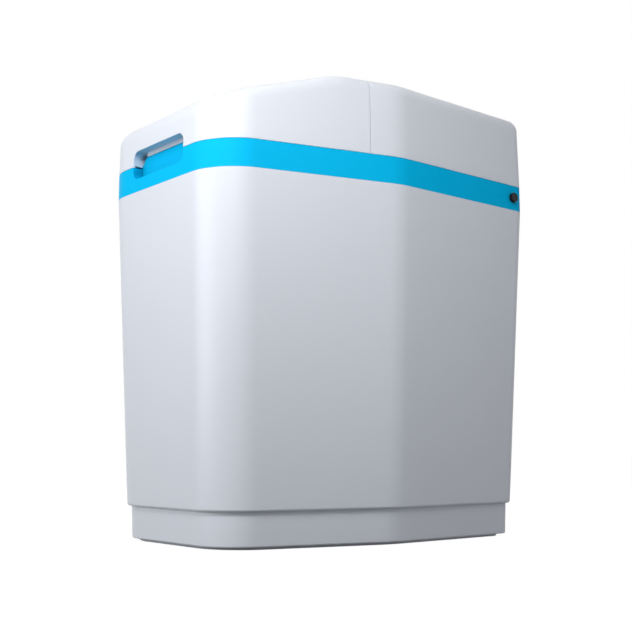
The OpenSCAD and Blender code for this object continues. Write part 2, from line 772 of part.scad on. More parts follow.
module end_plug() color(black) difference() {
    union() {
        bar_y(plug_disc_r, barrel_front - plug_disc_t, barrel_front, 0, barrel_z);
        bar_y(barrel_bore_r - run, barrel_front - cut, stack_front, 0, barrel_z);
    }
    bar_y(rod_r + run, barrel_front - plug_disc_t - cut, stack_front + cut, 0, barrel_z);
}

// Involute gears between the bracket and the end plug
pressure_angle = 20;
backlash = 0.3;
gear_t = 8;
hub_r = 9;
shaft_r = 3;
gear_shim = 3;
gear_y = plate_back + gear_shim;
gear_addendum = 0.8;
gear_gap = gear_module * (gear_teeth + pinion_teeth) / 2;
pinion_z = barrel_z + gear_gap;
function turned(p, a) = [p.x * cos(a) - p.y * sin(a), p.x * sin(a) + p.y * cos(a)];
function involute(base, r) =
    let (t = sqrt(max((r / base) ^ 2 - 1, 0)), a = t * 180 / PI)
    base * [cos(a) + t * sin(a), sin(a) - t * cos(a)];

// One tooth about the X axis: root, flank, flank, root
function tooth(teeth, addendum) =
    let (pitch_r = gear_module * teeth / 2, base = pitch_r * cos(pressure_angle))
    let (root = pitch_r - 1.25 * gear_module, tip = pitch_r + addendum * gear_module)
    let (half = 90 / teeth + tan(pressure_angle) * 180 / PI - pressure_angle - backlash * 90 / PI / pitch_r)
    let (flank = [for (k = [0:4]) turned(involute(base, base + (tip - base) * k / 4), -half)])
    concat([turned([root, 0], -half)], flank,
        [for (k = [4:-1:0]) [flank[k].x, -flank[k].y]], [turned([root, 0], half)]);

module spur_gear(teeth, addendum, start, x, z) translate([x, gear_y + gear_t, z]) rotate([90, 0, 0])
    linear_extrude(gear_t) polygon([for (k = [0:teeth - 1], p = tooth(teeth, addendum))
        turned(p, start + 360 * k / teeth)]);

module drive_gear() color([0.9, 0.88, 0.8]) difference() {
    union() {
        spur_gear(gear_teeth, gear_addendum, 90, 0, barrel_z);
        bar_y(hub_r, plate_front, barrel_front - plug_disc_t - fit, 0, barrel_z);
    }
    bar_y(rod_r + run, plate_front - cut, barrel_front, 0, barrel_z);
}

module motor_pinion() color(steel) {
    spur_gear(pinion_teeth, 1, 270 + 180 / pinion_teeth, 0, pinion_z);
    bar_y(shaft_r, plate_front - gear_t, gear_y + gear_t, 0, pinion_z);
}

motor_l = 36;
module drive_motor() color(black) difference() {
    bar_y(motor_r, plate_front - motor_l, plate_front, 0, pinion_z);
    bar_y(shaft_r + run, plate_front - gear_t - fit, plate_front + cut, 0, pinion_z);
    bar_y(rod_r + 3 * cut, plate_front - motor_l - cut, plate_front + cut, 0, barrel_z);
}

post_r = 4;
post_x = ear_w - 1.5 * post_r;
module drive_bracket() color(steel) difference() {
    union() {
        block([-ear_w, plate_front, barrel_z - ear_w], [ear_w, plate_back, pinion_z + motor_r]);
        for (x = [-1, 1], z = [-1, 1])
            bar_y(post_r, plate_back - plate_t / 2, barrel_front, x * post_x, barrel_z + z * post_x);
    }
    bar_y(hub_r + run, plate_front - cut, plate_back + cut, 0, barrel_z);
    bar_y(shaft_r + run, plate_front - cut, plate_back + cut, 0, pinion_z);
}

module injector_cap() color(black) difference() {
    bar_x(injector_r + injector_rim, boss_x, boss_x + injector_cap_t, tank_y, barrel_z);
    for (s = [-1, 1])
        bar_x(injector_screw_r + fit, boss_x - cut, boss_x + injector_cap_t + cut,
            tank_y + s * injector_screw_y, barrel_z);
}

module injector_screws() color(steel) for (s = [-1, 1]) {
    y = tank_y + s * injector_screw_y;
    bar_x(2 * injector_screw_r, boss_x + injector_cap_t, boss_x + injector_cap_t + injector_rim, y, barrel_z);
    bar_x(injector_screw_r, boss_x - injector_cap_t + cut, boss_x + injector_cap_t + cut, y, barrel_z);
}

// Flow meter in the outlet port: a turbine between two spiders
turbine_l = 10;
turbine_inset = 30;
turbine_y = half_d - turbine_inset;
turbine_hub_r = 3;
turbine_pin_r = 1;
cage_t = 4;
cage_wall = 1.5;
cage_rib = 1;
blade_t = 1.2;
blades = 6;
module flow_turbine() color(blue) {
    bar_y(turbine_hub_r, turbine_y, turbine_y + turbine_l, port_x, port_z);
    bar_y(turbine_pin_r, turbine_y - cage_t, turbine_y + turbine_l + cage_t, port_x, port_z);
    for (k = [0:blades - 1])
        translate([port_x, turbine_y + turbine_l / 2, port_z]) rotate([0, k * 360 / blades, 0])
            rotate([0, 0, 30]) translate([-blade_t / 2, -turbine_l / 2 + cut, 0])
                cube([blade_t, turbine_l - 2 * cut, water_r - cut]);
}

module turbine_cage() color(white) for (y0 = [turbine_y - cage_t - fit, turbine_y + turbine_l + fit])
    difference() {
        union() {
            ring_y(water_r - run, water_r - cage_wall, y0, y0 + cage_t, port_x, port_z);
            block([port_x - water_r + cage_rib, y0, port_z - cage_rib],
                [port_x + water_r - cage_rib, y0 + cage_t, port_z + cage_rib]);
            bar_y(turbine_hub_r, y0, y0 + cage_t, port_x, port_z);
        }
        bar_y(turbine_pin_r + run, y0 - cut, y0 + cage_t + cut, port_x, port_z);
    }

// Drain elbow beside the ports, out through the back with a hose spigot
drain_reach = 8;
drain_end = half_d + drain_reach;
drain_spigot_l = 26;
module drain_elbow() color(black) difference() {
    union() {
        bar_x(drain_body_r, drain_boss_x, drain_x, drain_y, port_z);
        translate([drain_x, drain_y, port_z]) sphere(r = drain_body_r);
        bar_y(drain_body_r, drain_y, drain_end, drain_x, port_z);
        bar_y(drain_r, drain_end - cut, drain_end + drain_spigot_l, drain_x, port_z);
    }
    bar_x(drain_r * 0.6, drain_boss_x - cut, drain_x, drain_y, port_z);
    bar_y(drain_r * 0.6, drain_y, drain_end + drain_spigot_l + cut, drain_x, port_z);
}

// Bypass behind the cabinet: two ported rotors in housings, joined by a cross tube
bypass_gap = 6;
bypass_front = half_d + bypass_gap;
rotor_gap = 8;
rotor_y = port_end + housing_r + rotor_gap;
union_l = 12;
union_step = 2;
bypass_end = rotor_y + housing_r + union_l + union_step;
union_r = housing_r - union_step;
housing_foot = 2;
housing_head = 6;
housing_low = port_z - housing_r - housing_foot;
housing_top = port_z + housing_r + housing_head;
rotor_seat = 4;
rotor_low = housing_low + rotor_seat;
module bypass_body() color([0.2, 0.21, 0.23]) difference() {
    union() {
        for (s = [-1, 1]) {
            bar_y(housing_r, bypass_front, bypass_end - union_l, s * port_x, port_z);
            bar_y(union_r, rotor_y, bypass_end, s * port_x, port_z);
            bar_z(housing_r, housing_low, housing_top, s * port_x, rotor_y);
        }
        bar_x(water_r + wall, -port_x, port_x, rotor_y, port_z);
    }
    for (s = [-1, 1]) {
        bar_y(port_r + fit, bypass_front - cut, port_end + fit, s * port_x, port_z);
        bar_y(water_r, bypass_front, bypass_end + cut, s * port_x, port_z);
        bar_z(rotor_r + run, rotor_low, housing_top + cut, s * port_x, rotor_y);
    }
    bar_x(water_r - cut, -port_x, port_x, rotor_y, port_z);
}

handle_l = 44;
handle_w = 12;
handle_h = 12;
collar_t = 5;
// Rotor with a waterway through it and a bar handle on top
module bypass_valve(x) color([0.75, 0.12, 0.1]) {
    low = housing_top + fit;
    difference() {
        bar_z(rotor_r, rotor_low + fit, low, x, rotor_y);
        bar_y(water_r - cut, rotor_y - housing_r, rotor_y + housing_r, x, port_z);
    }
    bar_z(housing_r, low, low + collar_t, x, rotor_y);
    translate([x, rotor_y, low]) plate(handle_w, handle_l, collar_t + handle_h, handle_w / 2 - fit);
}
module inlet_bypass_valve() bypass_valve(-port_x);
module outlet_bypass_valve() bypass_valve(port_x);

nut_rim = 6;
nut_r = housing_r + nut_rim;
nipple_flange_t = 3;
nipple_y = bypass_end + fit;
nut_face_t = 4;
nut_end = nipple_y + nipple_flange_t + nut_face_t;
thread_start = nut_end + cut;
nipple_end = thread_start + nipple_l;
neck_step = 0.5;
module union_nut(x) color(black) difference() {
    translate([x, nut_end, port_z]) rotate([90, 0, 0])
        cylinder(r = nut_r, h = nut_end - bypass_end + union_l - fit, $fn = 6);
    bar_y(union_r + fit, rotor_y, nipple_y + nipple_flange_t + fit, x, port_z);
    bar_y(nipple_r + fit, rotor_y, nut_end + cut, x, port_z);
}
module inlet_nut() union_nut(-port_x);
module outlet_nut() union_nut(port_x);

module nipple(x) color([0.78, 0.62, 0.3]) difference() {
    union() {
        bar_y(union_r - fit, nipple_y, nipple_y + nipple_flange_t, x, port_z);
        bar_y(nipple_r - neck_step, nipple_y, nipple_end, x, port_z);
        bar_y(nipple_r, thread_start, nipple_end, x, port_z);
    }
    bar_y(water_r - cut, nipple_y - cut, nipple_end + cut, x, port_z);
}
module inlet_nipple() nipple(-port_x);
module outlet_nipple() nipple(port_x);

// Brine well beside the tank, with its safety float valve and draw tube
well_wall = 2.5;
well_margin = 22.3;
window_a = 34;
well_x = -(half_w - side_in(floor_z) - wall - well_r - well_margin);
well_gap = 13;
well_y = tank_y - sqrt((boot_r + well_r + well_gap) ^ 2 - well_x ^ 2);
well_top = floor_z + well_h;
well_floor = floor_z + well_wall;
float_off = 10;
draw_off = 27;
draw_rise = 52;
float_x = well_x - float_off;
draw_x = well_x + draw_off;
draw_z = well_floor + draw_rise;
float_rod_r = 2.5;
cap_depth = 8;
window_h = 36;
window_z = well_top - cap_depth - window_h;
slot_r = 3;
slot_pitch = 12;
slot_rows = 3;
module brine_well() color([0.82, 0.84, 0.86]) difference() {
    bar_z(well_r, floor_z, well_top, well_x, well_y);
    bar_z(well_r - well_wall, well_floor, well_top + cut, well_x, well_y);
    for (a = [20:60:320], k = [1:slot_rows])
        translate([well_x, well_y, well_floor + slot_pitch * k]) rotate([0, 90, a])
            cylinder(r = slot_r, h = well_r + cut);
    translate([well_x, well_y, window_z]) rotate([0, 0, window_a])
        block([well_r / 2, -3 * tube_r, 0], [well_r + cut, 3 * tube_r, window_h - cut]);
}

cap_rim = 2;
knob_w = 30;
knob_d = 8;
knob_h = 14;
knob_r = 3;
module brine_well_cap() color(blue) {
    bar_z(well_r + cap_rim, well_top + fit, well_top + fit + wall, well_x, well_y);
    difference() {
        bar_z(well_r - well_wall - fit, well_top - cap_depth, well_top + wall, well_x, well_y);
        bar_z(well_r - 3 * well_wall, well_top - cap_depth - cut, well_top, well_x, well_y);
    }
    translate([well_x, well_y, well_top + fit]) plate(knob_w, knob_d, knob_h, knob_r);
}

// Brine valve: a foot round the float's rod, an arm and the draw stem
foot_r = 14;
foot_h = 44;
foot_seat = 6;
arm_r = 7;
arm_rise = 30;
draw_r = 7.5;
module brine_valve() color(white) difference() {
    union() {
        bar_z(foot_r, well_floor, well_floor + foot_h, float_x, well_y);
        bar_x(arm_r, float_x, draw_x, well_y, well_floor + arm_rise);
        bar_z(draw_r, well_floor + arm_rise - cut - arm_r, draw_z, draw_x, well_y);
    }
    bar_z(float_rod_r + run, well_floor + foot_seat, well_floor + foot_h + cut, float_x, well_y);
    bar_z(tube_r * 0.6, well_floor + arm_rise, draw_z + cut, draw_x, well_y);
}

rod_rise = 8;
rod_l = 292;
module float_rod() color(steel)
    bar_z(float_rod_r, well_floor + rod_rise, well_floor + rod_rise + rod_l, float_x, well_y);

float_rest = 200;
float_z = well_floor + float_rest;
float_l = 46;
float_step = 6;
float_rim = 4;
module brine_float() color(white) difference() {
    union() {
        bar_z(float_r, float_z + float_step, float_z + float_l - float_step, float_x, well_y);
        bar_z(float_r - float_rim, float_z, float_z + float_l, float_x, well_y);
    }
    bar_z(float_rod_r + run, float_z - cut, float_z + float_l + cut, float_x, well_y);
}

// Draw tube from the brine valve, up and out through the well's window to the control valve
tube_sides = 8;
tube_steps = 4;
tube_route = [[draw_x, well_y, draw_z], [draw_x, well_y, draw_z + 90], [draw_x, well_y, draw_z + 180],
    [draw_x, well_y, window_z - 28], [draw_x + 2, well_y + 7, window_z + 2],
    [draw_x + 8, well_y + 28, window_z + 22], [draw_x + 8, well_y + 56, brine_z - 10],
    [draw_x + 3, tank_y - 34, brine_z - 3], [draw_x + 5, tank_y - 14, brine_z],
    [brine_x - 17, tank_y, brine_z], [brine_x, tank_y, brine_z]];
last = len(tube_route) - 1;
function route_at(k) = tube_route[max(0, min(last, k))];
// Smooth curve through the route's points
function route_point(k, t) =
    let (a = route_at(k - 1), b = route_at(k), c = route_at(k + 1), d = route_at(k + 2))
    (2 * b + (c - a) * t + (2 * a - 5 * b + 4 * c - d) * t ^ 2 + (3 * b - a - 3 * c + d) * t ^ 3) / 2;
tube_path = [for (k = [0:last - 1], s = [0:tube_steps - 1]) route_point(k, s / tube_steps), tube_route[last]];
tube_last = len(tube_path) - 1;
function path_direction(i) = i == 0 ? [0, 0, 1] : i == tube_last ? [1, 0, 0]
    : unit(tube_path[i + 1] - tube_path[i - 1]);
function tube_ring(i) =
    let (w = path_direction(i), u = unit(cross([1, -1, 0.2], w)), v = cross(w, u))
    [for (k = [0:tube_sides - 1])
        let (a = (k + 0.5) * 360 / tube_sides)
        tube_path[i] + tube_r * (u * cos(a) + v * sin(a))];
module brine_tube() color([0.85, 0.88, 0.9]) loft([for (i = [0:tube_last]) tube_ring(i)]);

cabinet();
base_skid();
base_screws();
rim_collar();
overflow_plug();
overflow_gasket();
overflow_nut();
salt_lid();
rear_cover();
hinge_pin();
control_panel();
display_lens();
menu_button();
up_button();
down_button();
start_button();
circuit_board();
power_inlet();
power_inlet_nut();
resin_tank();
tank_boot();
resin_bed();
riser_tube();
bottom_strainer();
top_strainer();
neck_seal();
valve_body();
piston_seals();
seal_spacers();
piston();
piston_rod();
end_plug();
drive_bracket();
drive_gear();
drive_motor();
motor_pinion();
injector_cap();
injector_screws();
flow_turbine();
turbine_cage();
drain_elbow();
bypass_body();
inlet_bypass_valve();
outlet_bypass_valve();
inlet_nut();
outlet_nut();
inlet_nipple();
outlet_nipple();
brine_well();
brine_well_cap();
brine_valve();
brine_float();
float_rod();
brine_tube();
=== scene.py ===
# %% [markdown]
# # A cabinet water softener
# The imported construction model is loaded first and stays as it is. Every piece below is modelled
# around it, in metres, and rides on one of its bodies, so the lid, the cover and the handles keep
# moving.

# %% Load the fixed frame
import math

import bmesh
import bpy
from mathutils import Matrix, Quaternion, Vector


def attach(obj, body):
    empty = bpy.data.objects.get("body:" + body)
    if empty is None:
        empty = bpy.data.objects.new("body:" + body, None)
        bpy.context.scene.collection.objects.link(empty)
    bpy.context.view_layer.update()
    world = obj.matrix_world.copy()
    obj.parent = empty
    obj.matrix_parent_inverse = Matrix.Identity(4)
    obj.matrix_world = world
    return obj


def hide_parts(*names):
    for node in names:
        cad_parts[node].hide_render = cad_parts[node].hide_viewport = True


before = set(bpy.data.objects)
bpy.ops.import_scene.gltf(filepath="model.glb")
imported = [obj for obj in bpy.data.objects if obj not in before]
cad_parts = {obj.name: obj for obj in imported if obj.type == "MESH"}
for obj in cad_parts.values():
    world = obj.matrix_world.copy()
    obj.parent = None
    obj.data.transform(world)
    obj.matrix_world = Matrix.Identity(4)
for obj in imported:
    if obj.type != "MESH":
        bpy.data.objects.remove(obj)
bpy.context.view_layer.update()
scene = bpy.context.scene

# %% [markdown]
# ## Working by hand in edit mode
# An operator acts on everything that is selected, and loading leaves the whole frame selected. So
# each piece starts with a clean selection, and inside a piece the faces and edges are picked by
# where they lie. `pick` is the hand that clicks on them.


# %% Helpers for picking
def alone(piece):
    """Make one piece the only selected and the active object."""
    bpy.ops.object.select_all(action="DESELECT")
    piece.select_set(True)
    bpy.context.view_layer.objects.active = piece
    return piece


def begin(name, add, **settings):
    """Add a primitive with a clean selection, name it and enter edit mode with all of it selected."""
    bpy.ops.object.select_all(action="DESELECT")
    add(**settings)
    piece = bpy.context.object
    bpy.ops.object.transform_apply(location=True, rotation=True, scale=True)
    piece.name = piece.data.name = name
    bpy.ops.object.mode_set(mode="EDIT")
    bpy.ops.mesh.select_all(action="SELECT")
    return piece


def edit(piece):
    """Go back into edit mode with all of a piece selected."""
    alone(piece)
    bpy.ops.object.mode_set(mode="EDIT")
    bpy.ops.mesh.select_all(action="SELECT")


def done():
    """Leave edit mode and hand over the piece."""
    bpy.ops.object.mode_set(mode="OBJECT")
    return bpy.context.object


def middle(element):
    """The middle of a vertex, edge or face."""
    points = [element] if isinstance(element, bmesh.types.BMVert) else element.verts
    return sum((v.co for v in points), Vector()) / len(points)


def pick(kind, test):
    """Select only the elements of one kind that pass a test, and say how many there are."""
    bpy.ops.mesh.select_mode(type=kind)
    bpy.ops.mesh.select_all(action="DESELECT")
    data = bpy.context.edit_object.data
    mesh = bmesh.from_edit_mesh(data)
    mesh.normal_update()
    found = [e for e in {"VERT": mesh.verts, "EDGE": mesh.edges, "FACE": mesh.faces}[kind] if test(e)]
    for element in found:
        element.select_set(True)
    mesh.select_flush_mode()
    bmesh.update_edit_mesh(data)
    return len(found)


def round_edges(test, offset, steps):
    """Bevel the edges that pass a test, and say how many there are."""
    count = pick("EDGE", test)
    bpy.ops.mesh.bevel(offset=offset, segments=steps, affect="EDGES", clamp_overlap=False)
    return count


def slice_off(place, outward):
    """Cut all of a piece with a plane, drop what lies on the plane's outer side and close the cut."""
    bpy.ops.mesh.select_all(action="SELECT")
    bpy.ops.mesh.bisect(plane_co=place, plane_no=outward, clear_outer=True, use_fill=True)


# %% [markdown]
# ## Modifiers and the last touch
# A modifier is applied as soon as it is set, so that the next step finds real faces to pick. Cutting
# and fusing are Boolean modifiers with a second piece as their tool. Every finished piece gets the
# same last touch: smooth shading, its body, the nodes that it stands for and the name of its finish.


# %% Helpers for modifiers and finished pieces
def use(piece, kind, **settings):
    """Add a modifier with its settings and apply it at once."""
    alone(piece)
    modifier = piece.modifiers.new(kind, kind)
    for key, value in settings.items():
        setattr(modifier, key, value)
    bpy.ops.object.modifier_apply(modifier=modifier.name)


def combine(piece, tool, operation):
    """Cut a piece with a tool, or fuse the two, and put the tool away."""
    use(piece, "BOOLEAN", object=tool, operation=operation, solver="EXACT")
    bpy.data.objects.remove(tool)


HARD_ANGLE = math.radians(35)


def soften(piece):
    """Smooth shading with hard lines past the angle, where the large faces keep their own normals."""
    alone(piece)
    bpy.ops.object.shade_smooth_by_angle(angle=HARD_ANGLE)
    use(piece, "WEIGHTED_NORMAL", keep_sharp=True)
    print(piece.name, len(piece.data.polygons), "faces")


DRESSED = []


def dress(piece, body, slot, *nodes):
    """Finish a piece: smooth it, tie it to a body, let it stand for nodes and note its finish."""
    soften(piece)
    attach(piece, body)
    for node in nodes:
        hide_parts(node)
    DRESSED.append((piece, slot))


# %% [markdown]
# ## The plan that all shells share
# Seen from above the cabinet has six corners: a narrow front, two long sides that open out to the
# shoulders, and a straight back. A circle of six corners, moved to these places, is the sheet that
# tub, band and lid all grow from. The corners are rounded either on the flat sheet or, where the
# walls lean, on the upright edges, so that the radius stays the same all the way down.

# %% The plan sheet
FRONT, SHOULDER, REAR = Vector((0.126, -0.2315)), Vector((0.192, -0.004)), Vector((0.192, 0.2315))
# How far before each corner its rounding starts, and in how many steps it goes round.
ROUNDS = {"front": (0.0481, 14), "shoulder": (0.0120, 6), "rear": (0.018, 8)}
# Corners further from the middle than the first are at an end, longer edges than the second are uprights.
END_ZONE, MIN_UPRIGHT = 0.12, 0.05
WALL = 0.003
Y, Z = 1, 2


def plan_sheet(name, height):
    """A flat sheet with the plan's six corners, left in edit mode and selected."""
    piece = begin(name, bpy.ops.mesh.primitive_circle_add, vertices=6, radius=SHOULDER.x, fill_type="NGON")
    right = [FRONT, SHOULDER, REAR]
    ring = right + [Vector((-p.x, p.y)) for p in reversed(right)]
    mesh = bmesh.from_edit_mesh(piece.data)
    mesh.verts.ensure_lookup_table()
    for corner, place in zip(mesh.verts, ring):
        corner.co = (place.x, place.y, height)
    mesh.normal_update()
    bmesh.update_edit_mesh(piece.data)
    return piece


def corner_kind(spot):
    """Which pair of corners a point of the outline belongs to."""
    return "front" if spot.y < -END_ZONE else "rear" if spot.y > END_ZONE else "shoulder"


def round_plan():
    """Round the six corners of a flat sheet."""
    for kind, (tangent, steps) in ROUNDS.items():
        pick("VERT", lambda v: corner_kind(v.co) == kind)
        bpy.ops.mesh.bevel(offset=tangent, segments=steps, affect="VERTICES", clamp_overlap=False)
    bpy.ops.mesh.select_all(action="SELECT")


def span(edge, axis):
    """How far an edge reaches along one axis."""
    start, end = edge.verts
    return abs(start.co[axis] - end.co[axis])


def round_uprights():
    """Round the six upright edges of a leaning wall."""
    for kind, (tangent, steps) in ROUNDS.items():
        round_edges(lambda e: corner_kind(middle(e)) == kind and span(e, Z) > MIN_UPRIGHT, tangent, steps)


def trim(inset):
    """Move the outline of a flat sheet in: inset it and drop the ring outside."""
    bpy.ops.mesh.select_mode(type="FACE")
    bpy.ops.mesh.inset(thickness=inset, depth=0)
    bpy.ops.mesh.select_all(action="INVERT")
    bpy.ops.mesh.delete(type="FACE")
    bpy.ops.mesh.select_all(action="SELECT")


def lift(height):
    """Extrude what is selected straight up."""
    bpy.ops.mesh.extrude_region_move(TRANSFORM_OT_translate={"value": (0, 0, height)})


def give_wall(piece):
    """Give a sheet the wall of a moulding, on its inner side."""
    use(piece, "SOLIDIFY", thickness=WALL, offset=-1, use_even_offset=True)


# %% [markdown]
# ## The tub
# The tub is a moulding that narrows towards the floor. Its sheet is inset downwards once for the
# long wall, once for the small step above the plinth and once for the plinth, which is how the
# mould's draft works too. The step and the foot get a soft edge, because that edge is the thin
# dark line one sees from the front. Solidify then gives the moulding its wall.

# %% The tub
TUB_TOP, PLINTH_TOP, STEP_RISE, TUB_FOOT = 0.430, 0.0416, 0.0015, 0.003
DRAFT = math.tan(math.radians(2.4))
PLINTH_STEP = 0.0055
# A face whose normal rises more than the first is level, a point closer than the second is at a place.
LEVEL_RISE, NEARBY = 0.9, 0.0003

wall_drop = TUB_TOP - PLINTH_TOP - STEP_RISE
plinth_drop = PLINTH_TOP - TUB_FOOT
tub = plan_sheet("cabinet_tub", TUB_TOP)
bpy.ops.mesh.inset(thickness=wall_drop * DRAFT, depth=-wall_drop)
round_uprights()
pick("FACE", lambda f: f.normal.z > LEVEL_RISE and middle(f).z < PLINTH_TOP + 2 * STEP_RISE)
bpy.ops.mesh.inset(thickness=PLINTH_STEP, depth=-STEP_RISE)
bpy.ops.mesh.inset(thickness=plinth_drop * DRAFT, depth=-plinth_drop)
bpy.ops.mesh.select_all(action="SELECT")
bpy.ops.mesh.flip_normals()


def level_edge(edge, height):
    """Whether both ends of an edge lie at a height."""
    return all(abs(v.co.z - height) < NEARBY for v in edge.verts)


for edge_height, softness in ((PLINTH_TOP + STEP_RISE, 0.0022), (PLINTH_TOP, 0.0008), (TUB_FOOT, 0.002)):
    round_edges(lambda e: level_edge(e, edge_height), softness, 3)
done()
give_wall(tub)
dress(tub, "base", "white_shell", "cabinet")

# %% [markdown]
# ## The skid under the plinth
# A thin plate, set in from the plinth, carries the whole weight. It shows only as a shadow line.

# %% The skid
SKID_SETBACK, SKID_SOFT = 0.006, 0.0008

skid = plan_sheet("base_plate", 0.0)
trim(TUB_TOP * DRAFT + PLINTH_STEP + SKID_SETBACK)
round_plan()
lift(TUB_FOOT)
bpy.ops.mesh.select_all(action="SELECT")
bpy.ops.mesh.normals_make_consistent(inside=False)
round_edges(lambda e: level_edge(e, 0.0), SKID_SOFT, 2)
done()
dress(skid, "base", "grey_base", "base_skid")

# %% [markdown]
# ## The pocket for the fingers
# At the front a rounded slot runs across band and lid. One block of that outline serves three
# times: as the cutter of both walls, grown by its wall as the lining, and again to hollow that.

# %% The pocket's block
GRIP_W, GRIP_LOW, GRIP_TOP, GRIP_R = 0.115, 0.447, 0.4825, 0.011
GRIP_WALL = 0.0025
FACE_Y = FRONT.y
LIP_INSET = 0.0135
GRIP_BACK = FACE_Y + LIP_INSET
# Tools reach past what they cut, and fused pieces a little into each other.
PAST, LAP = 0.01, 0.001


def slot_block(name, grow, y0, y1):
    """A block with the pocket's rounded outline, grown all round, from y0 back to y1."""
    height = GRIP_TOP - GRIP_LOW + 2 * grow
    begin(name, bpy.ops.mesh.primitive_cube_add, size=1,
          location=(0, (y0 + y1) / 2, (GRIP_LOW + GRIP_TOP) / 2),
          scale=(GRIP_W + 2 * grow, y1 - y0, height))
    round_edges(lambda e: span(e, Y) > (y1 - y0) / 2, GRIP_R + grow, 10)
    return done()


def slot_lining(name, low, high, reach=LAP):
    """The pocket's lining between two heights, open at the front and at the back."""
    piece = slot_block(name, GRIP_WALL, FACE_Y + WALL / 2, GRIP_BACK + reach)
    combine(piece, slot_block("slot_hollow", 0, FACE_Y - PAST, GRIP_BACK + reach + PAST), "DIFFERENCE")
    edit(piece)
    slice_off((0, 0, low), (0, 0, -1))
    slice_off((0, 0, high), (0, 0, 1))
    return done()


def slab(name, low, high):
    """A plain block between two corners, for a tool or as the start of a plate."""
    low, high = Vector(low), Vector(high)
    begin(name, bpy.ops.mesh.primitive_cube_add, size=1, location=(low + high) / 2, scale=high - low)
    return done()


# %% [markdown]
# ## The blue band
# The band is a collar between tub and lid, flush with both. Inside, it steps in over a shelf to an
# upright lip that keeps water out, and at the pocket this lip stands up higher, as the wall that
# the fingers meet. The outer ring and the lip are two sheets pulled up and given a wall.

# %% The blue band
BAND_TOP, SHELF_TOP, LIP_TOP = 0.4635, 0.4378, 0.468
BAND_SOFT, SHELF_SINK = 0.0005, 0.0005

band = plan_sheet("band_collar", TUB_TOP)
round_plan()
lift(BAND_TOP - TUB_TOP)
pick("FACE", lambda f: abs(f.normal.z) > LEVEL_RISE)
bpy.ops.mesh.delete(type="FACE")
done()
give_wall(band)
edit(band)
round_edges(lambda e: (level_edge(e, BAND_TOP) or level_edge(e, TUB_TOP)) and e.calc_face_angle() > 1,
            BAND_SOFT, 2)
done()

lip = plan_sheet("band_lip", SHELF_TOP)
round_plan()
trim(WALL - SHELF_SINK)
bpy.ops.mesh.inset(thickness=LIP_INSET - WALL + SHELF_SINK, depth=0)
lift(LIP_TOP - SHELF_TOP)
bpy.ops.mesh.delete(type="FACE")
done()
give_wall(lip)

# %% [markdown]
# The raised lip is a plate with its two upper corners cut off. It is fused with the ring, the lip
# and the lower half of the pocket's lining, after the slot has been cut through the ring.

# %% The band's pocket
RAISED_TOP, RAISED_HALF, CORNER_CUT, LIP_SOFT = 0.477, 0.0545, 0.006, 0.0006
MOUTH_DEPTH, MOUTH_ANGLE = 0.0022, 0.8

raised = slab("raised_lip", (-RAISED_HALF, GRIP_BACK, SHELF_TOP - LAP),
              (RAISED_HALF, GRIP_BACK + WALL, RAISED_TOP))
edit(raised)
round_edges(lambda e: abs(middle(e).x) > RAISED_HALF - NEARBY and level_edge(e, RAISED_TOP), CORNER_CUT, 1)
round_edges(lambda e: all(v.co.y < GRIP_BACK + NEARBY and v.co.z > SHELF_TOP for v in e.verts), LIP_SOFT, 2)
done()


def mouth_edge(edge, low, high):
    """An edge where the pocket's slot breaks through the front face, between two heights."""
    spot = middle(edge)
    outside = all(v.co.y < FACE_Y + MOUTH_DEPTH for v in edge.verts)
    inside = abs(spot.x) < GRIP_W / 2 + NEARBY and low < spot.z < high
    return outside and inside and edge.is_manifold and edge.calc_face_angle() > MOUTH_ANGLE


def open_mouth(shell, low, high, softness, steps):
    """Cut the pocket's slot through a shell's front and round the slot's edge between two heights."""
    combine(shell, slot_block("slot_cut", 0, FACE_Y - PAST, GRIP_BACK - WALL), "DIFFERENCE")
    edit(shell)
    print("mouth edges:", round_edges(lambda e: mouth_edge(e, low, high), softness, steps))
    done()


open_mouth(band, GRIP_LOW - NEARBY, BAND_TOP - LAP, LIP_SOFT, 2)
combine(band, lip, "UNION")
combine(band, slot_lining("band_lining", GRIP_LOW - PAST, BAND_TOP), "UNION")
combine(band, raised, "UNION")
dress(band, "base", "blue_band", "rim_collar")

# %% [markdown]
# ## One form for lid and cover
# The salt lid in front and the rear cover behind it look like one piece with a seam, so they are
# modelled as one and parted afterwards. The sheet is pulled up with a slight lean, its uprights are
# rounded, one cut lays the slope, a narrow bevel blends slope and flat, and a second one rounds the
# whole upper edge. The order matters: the edge bevel needs the finished top to run along.

# %% The closed form of lid and cover
LID_BOTTOM, LID_TOP, LID_LEAN, EDGE_ROUND = 0.4638, 0.560, 0.0015, 0.0170
SLOPE = math.radians(16.4)
CREASE_Y, BLEND = -0.0805, 0.010
WALL_RISE, TOP_RISE = 0.3, 0.8

form = plan_sheet("lid_form", LID_BOTTOM)
bpy.ops.mesh.inset(thickness=LID_LEAN, depth=LID_TOP - LID_BOTTOM)
round_uprights()
slice_off((0, CREASE_Y, LID_TOP), (0, -math.sin(SLOPE), math.cos(SLOPE)))


def crease_edge(edge):
    """An edge between two faces of the top."""
    return len(edge.link_faces) == 2 and all(f.normal.z > TOP_RISE for f in edge.link_faces)


def brow_edge(edge):
    """An edge where an upright wall meets the top."""
    rises = sorted(f.normal.z for f in edge.link_faces)
    return len(rises) == 2 and rises[0] < WALL_RISE and rises[1] > TOP_RISE


print("crease edges:", round_edges(crease_edge, BLEND, 14))
print("brow edges:", round_edges(brow_edge, EDGE_ROUND, 8))
bpy.ops.mesh.select_all(action="SELECT")
bpy.ops.mesh.remove_doubles(threshold=0.00002)
done()

# %% [markdown]
# ## Parting the form
# A copy of the closed form is kept for the partition behind the hinge. The form itself is hollowed
# by Solidify, copied, and each copy is cut on its own side of the seam with the cut closed again.
# A narrow bevel on that cut gives the seam the soft lips of a moulded part.

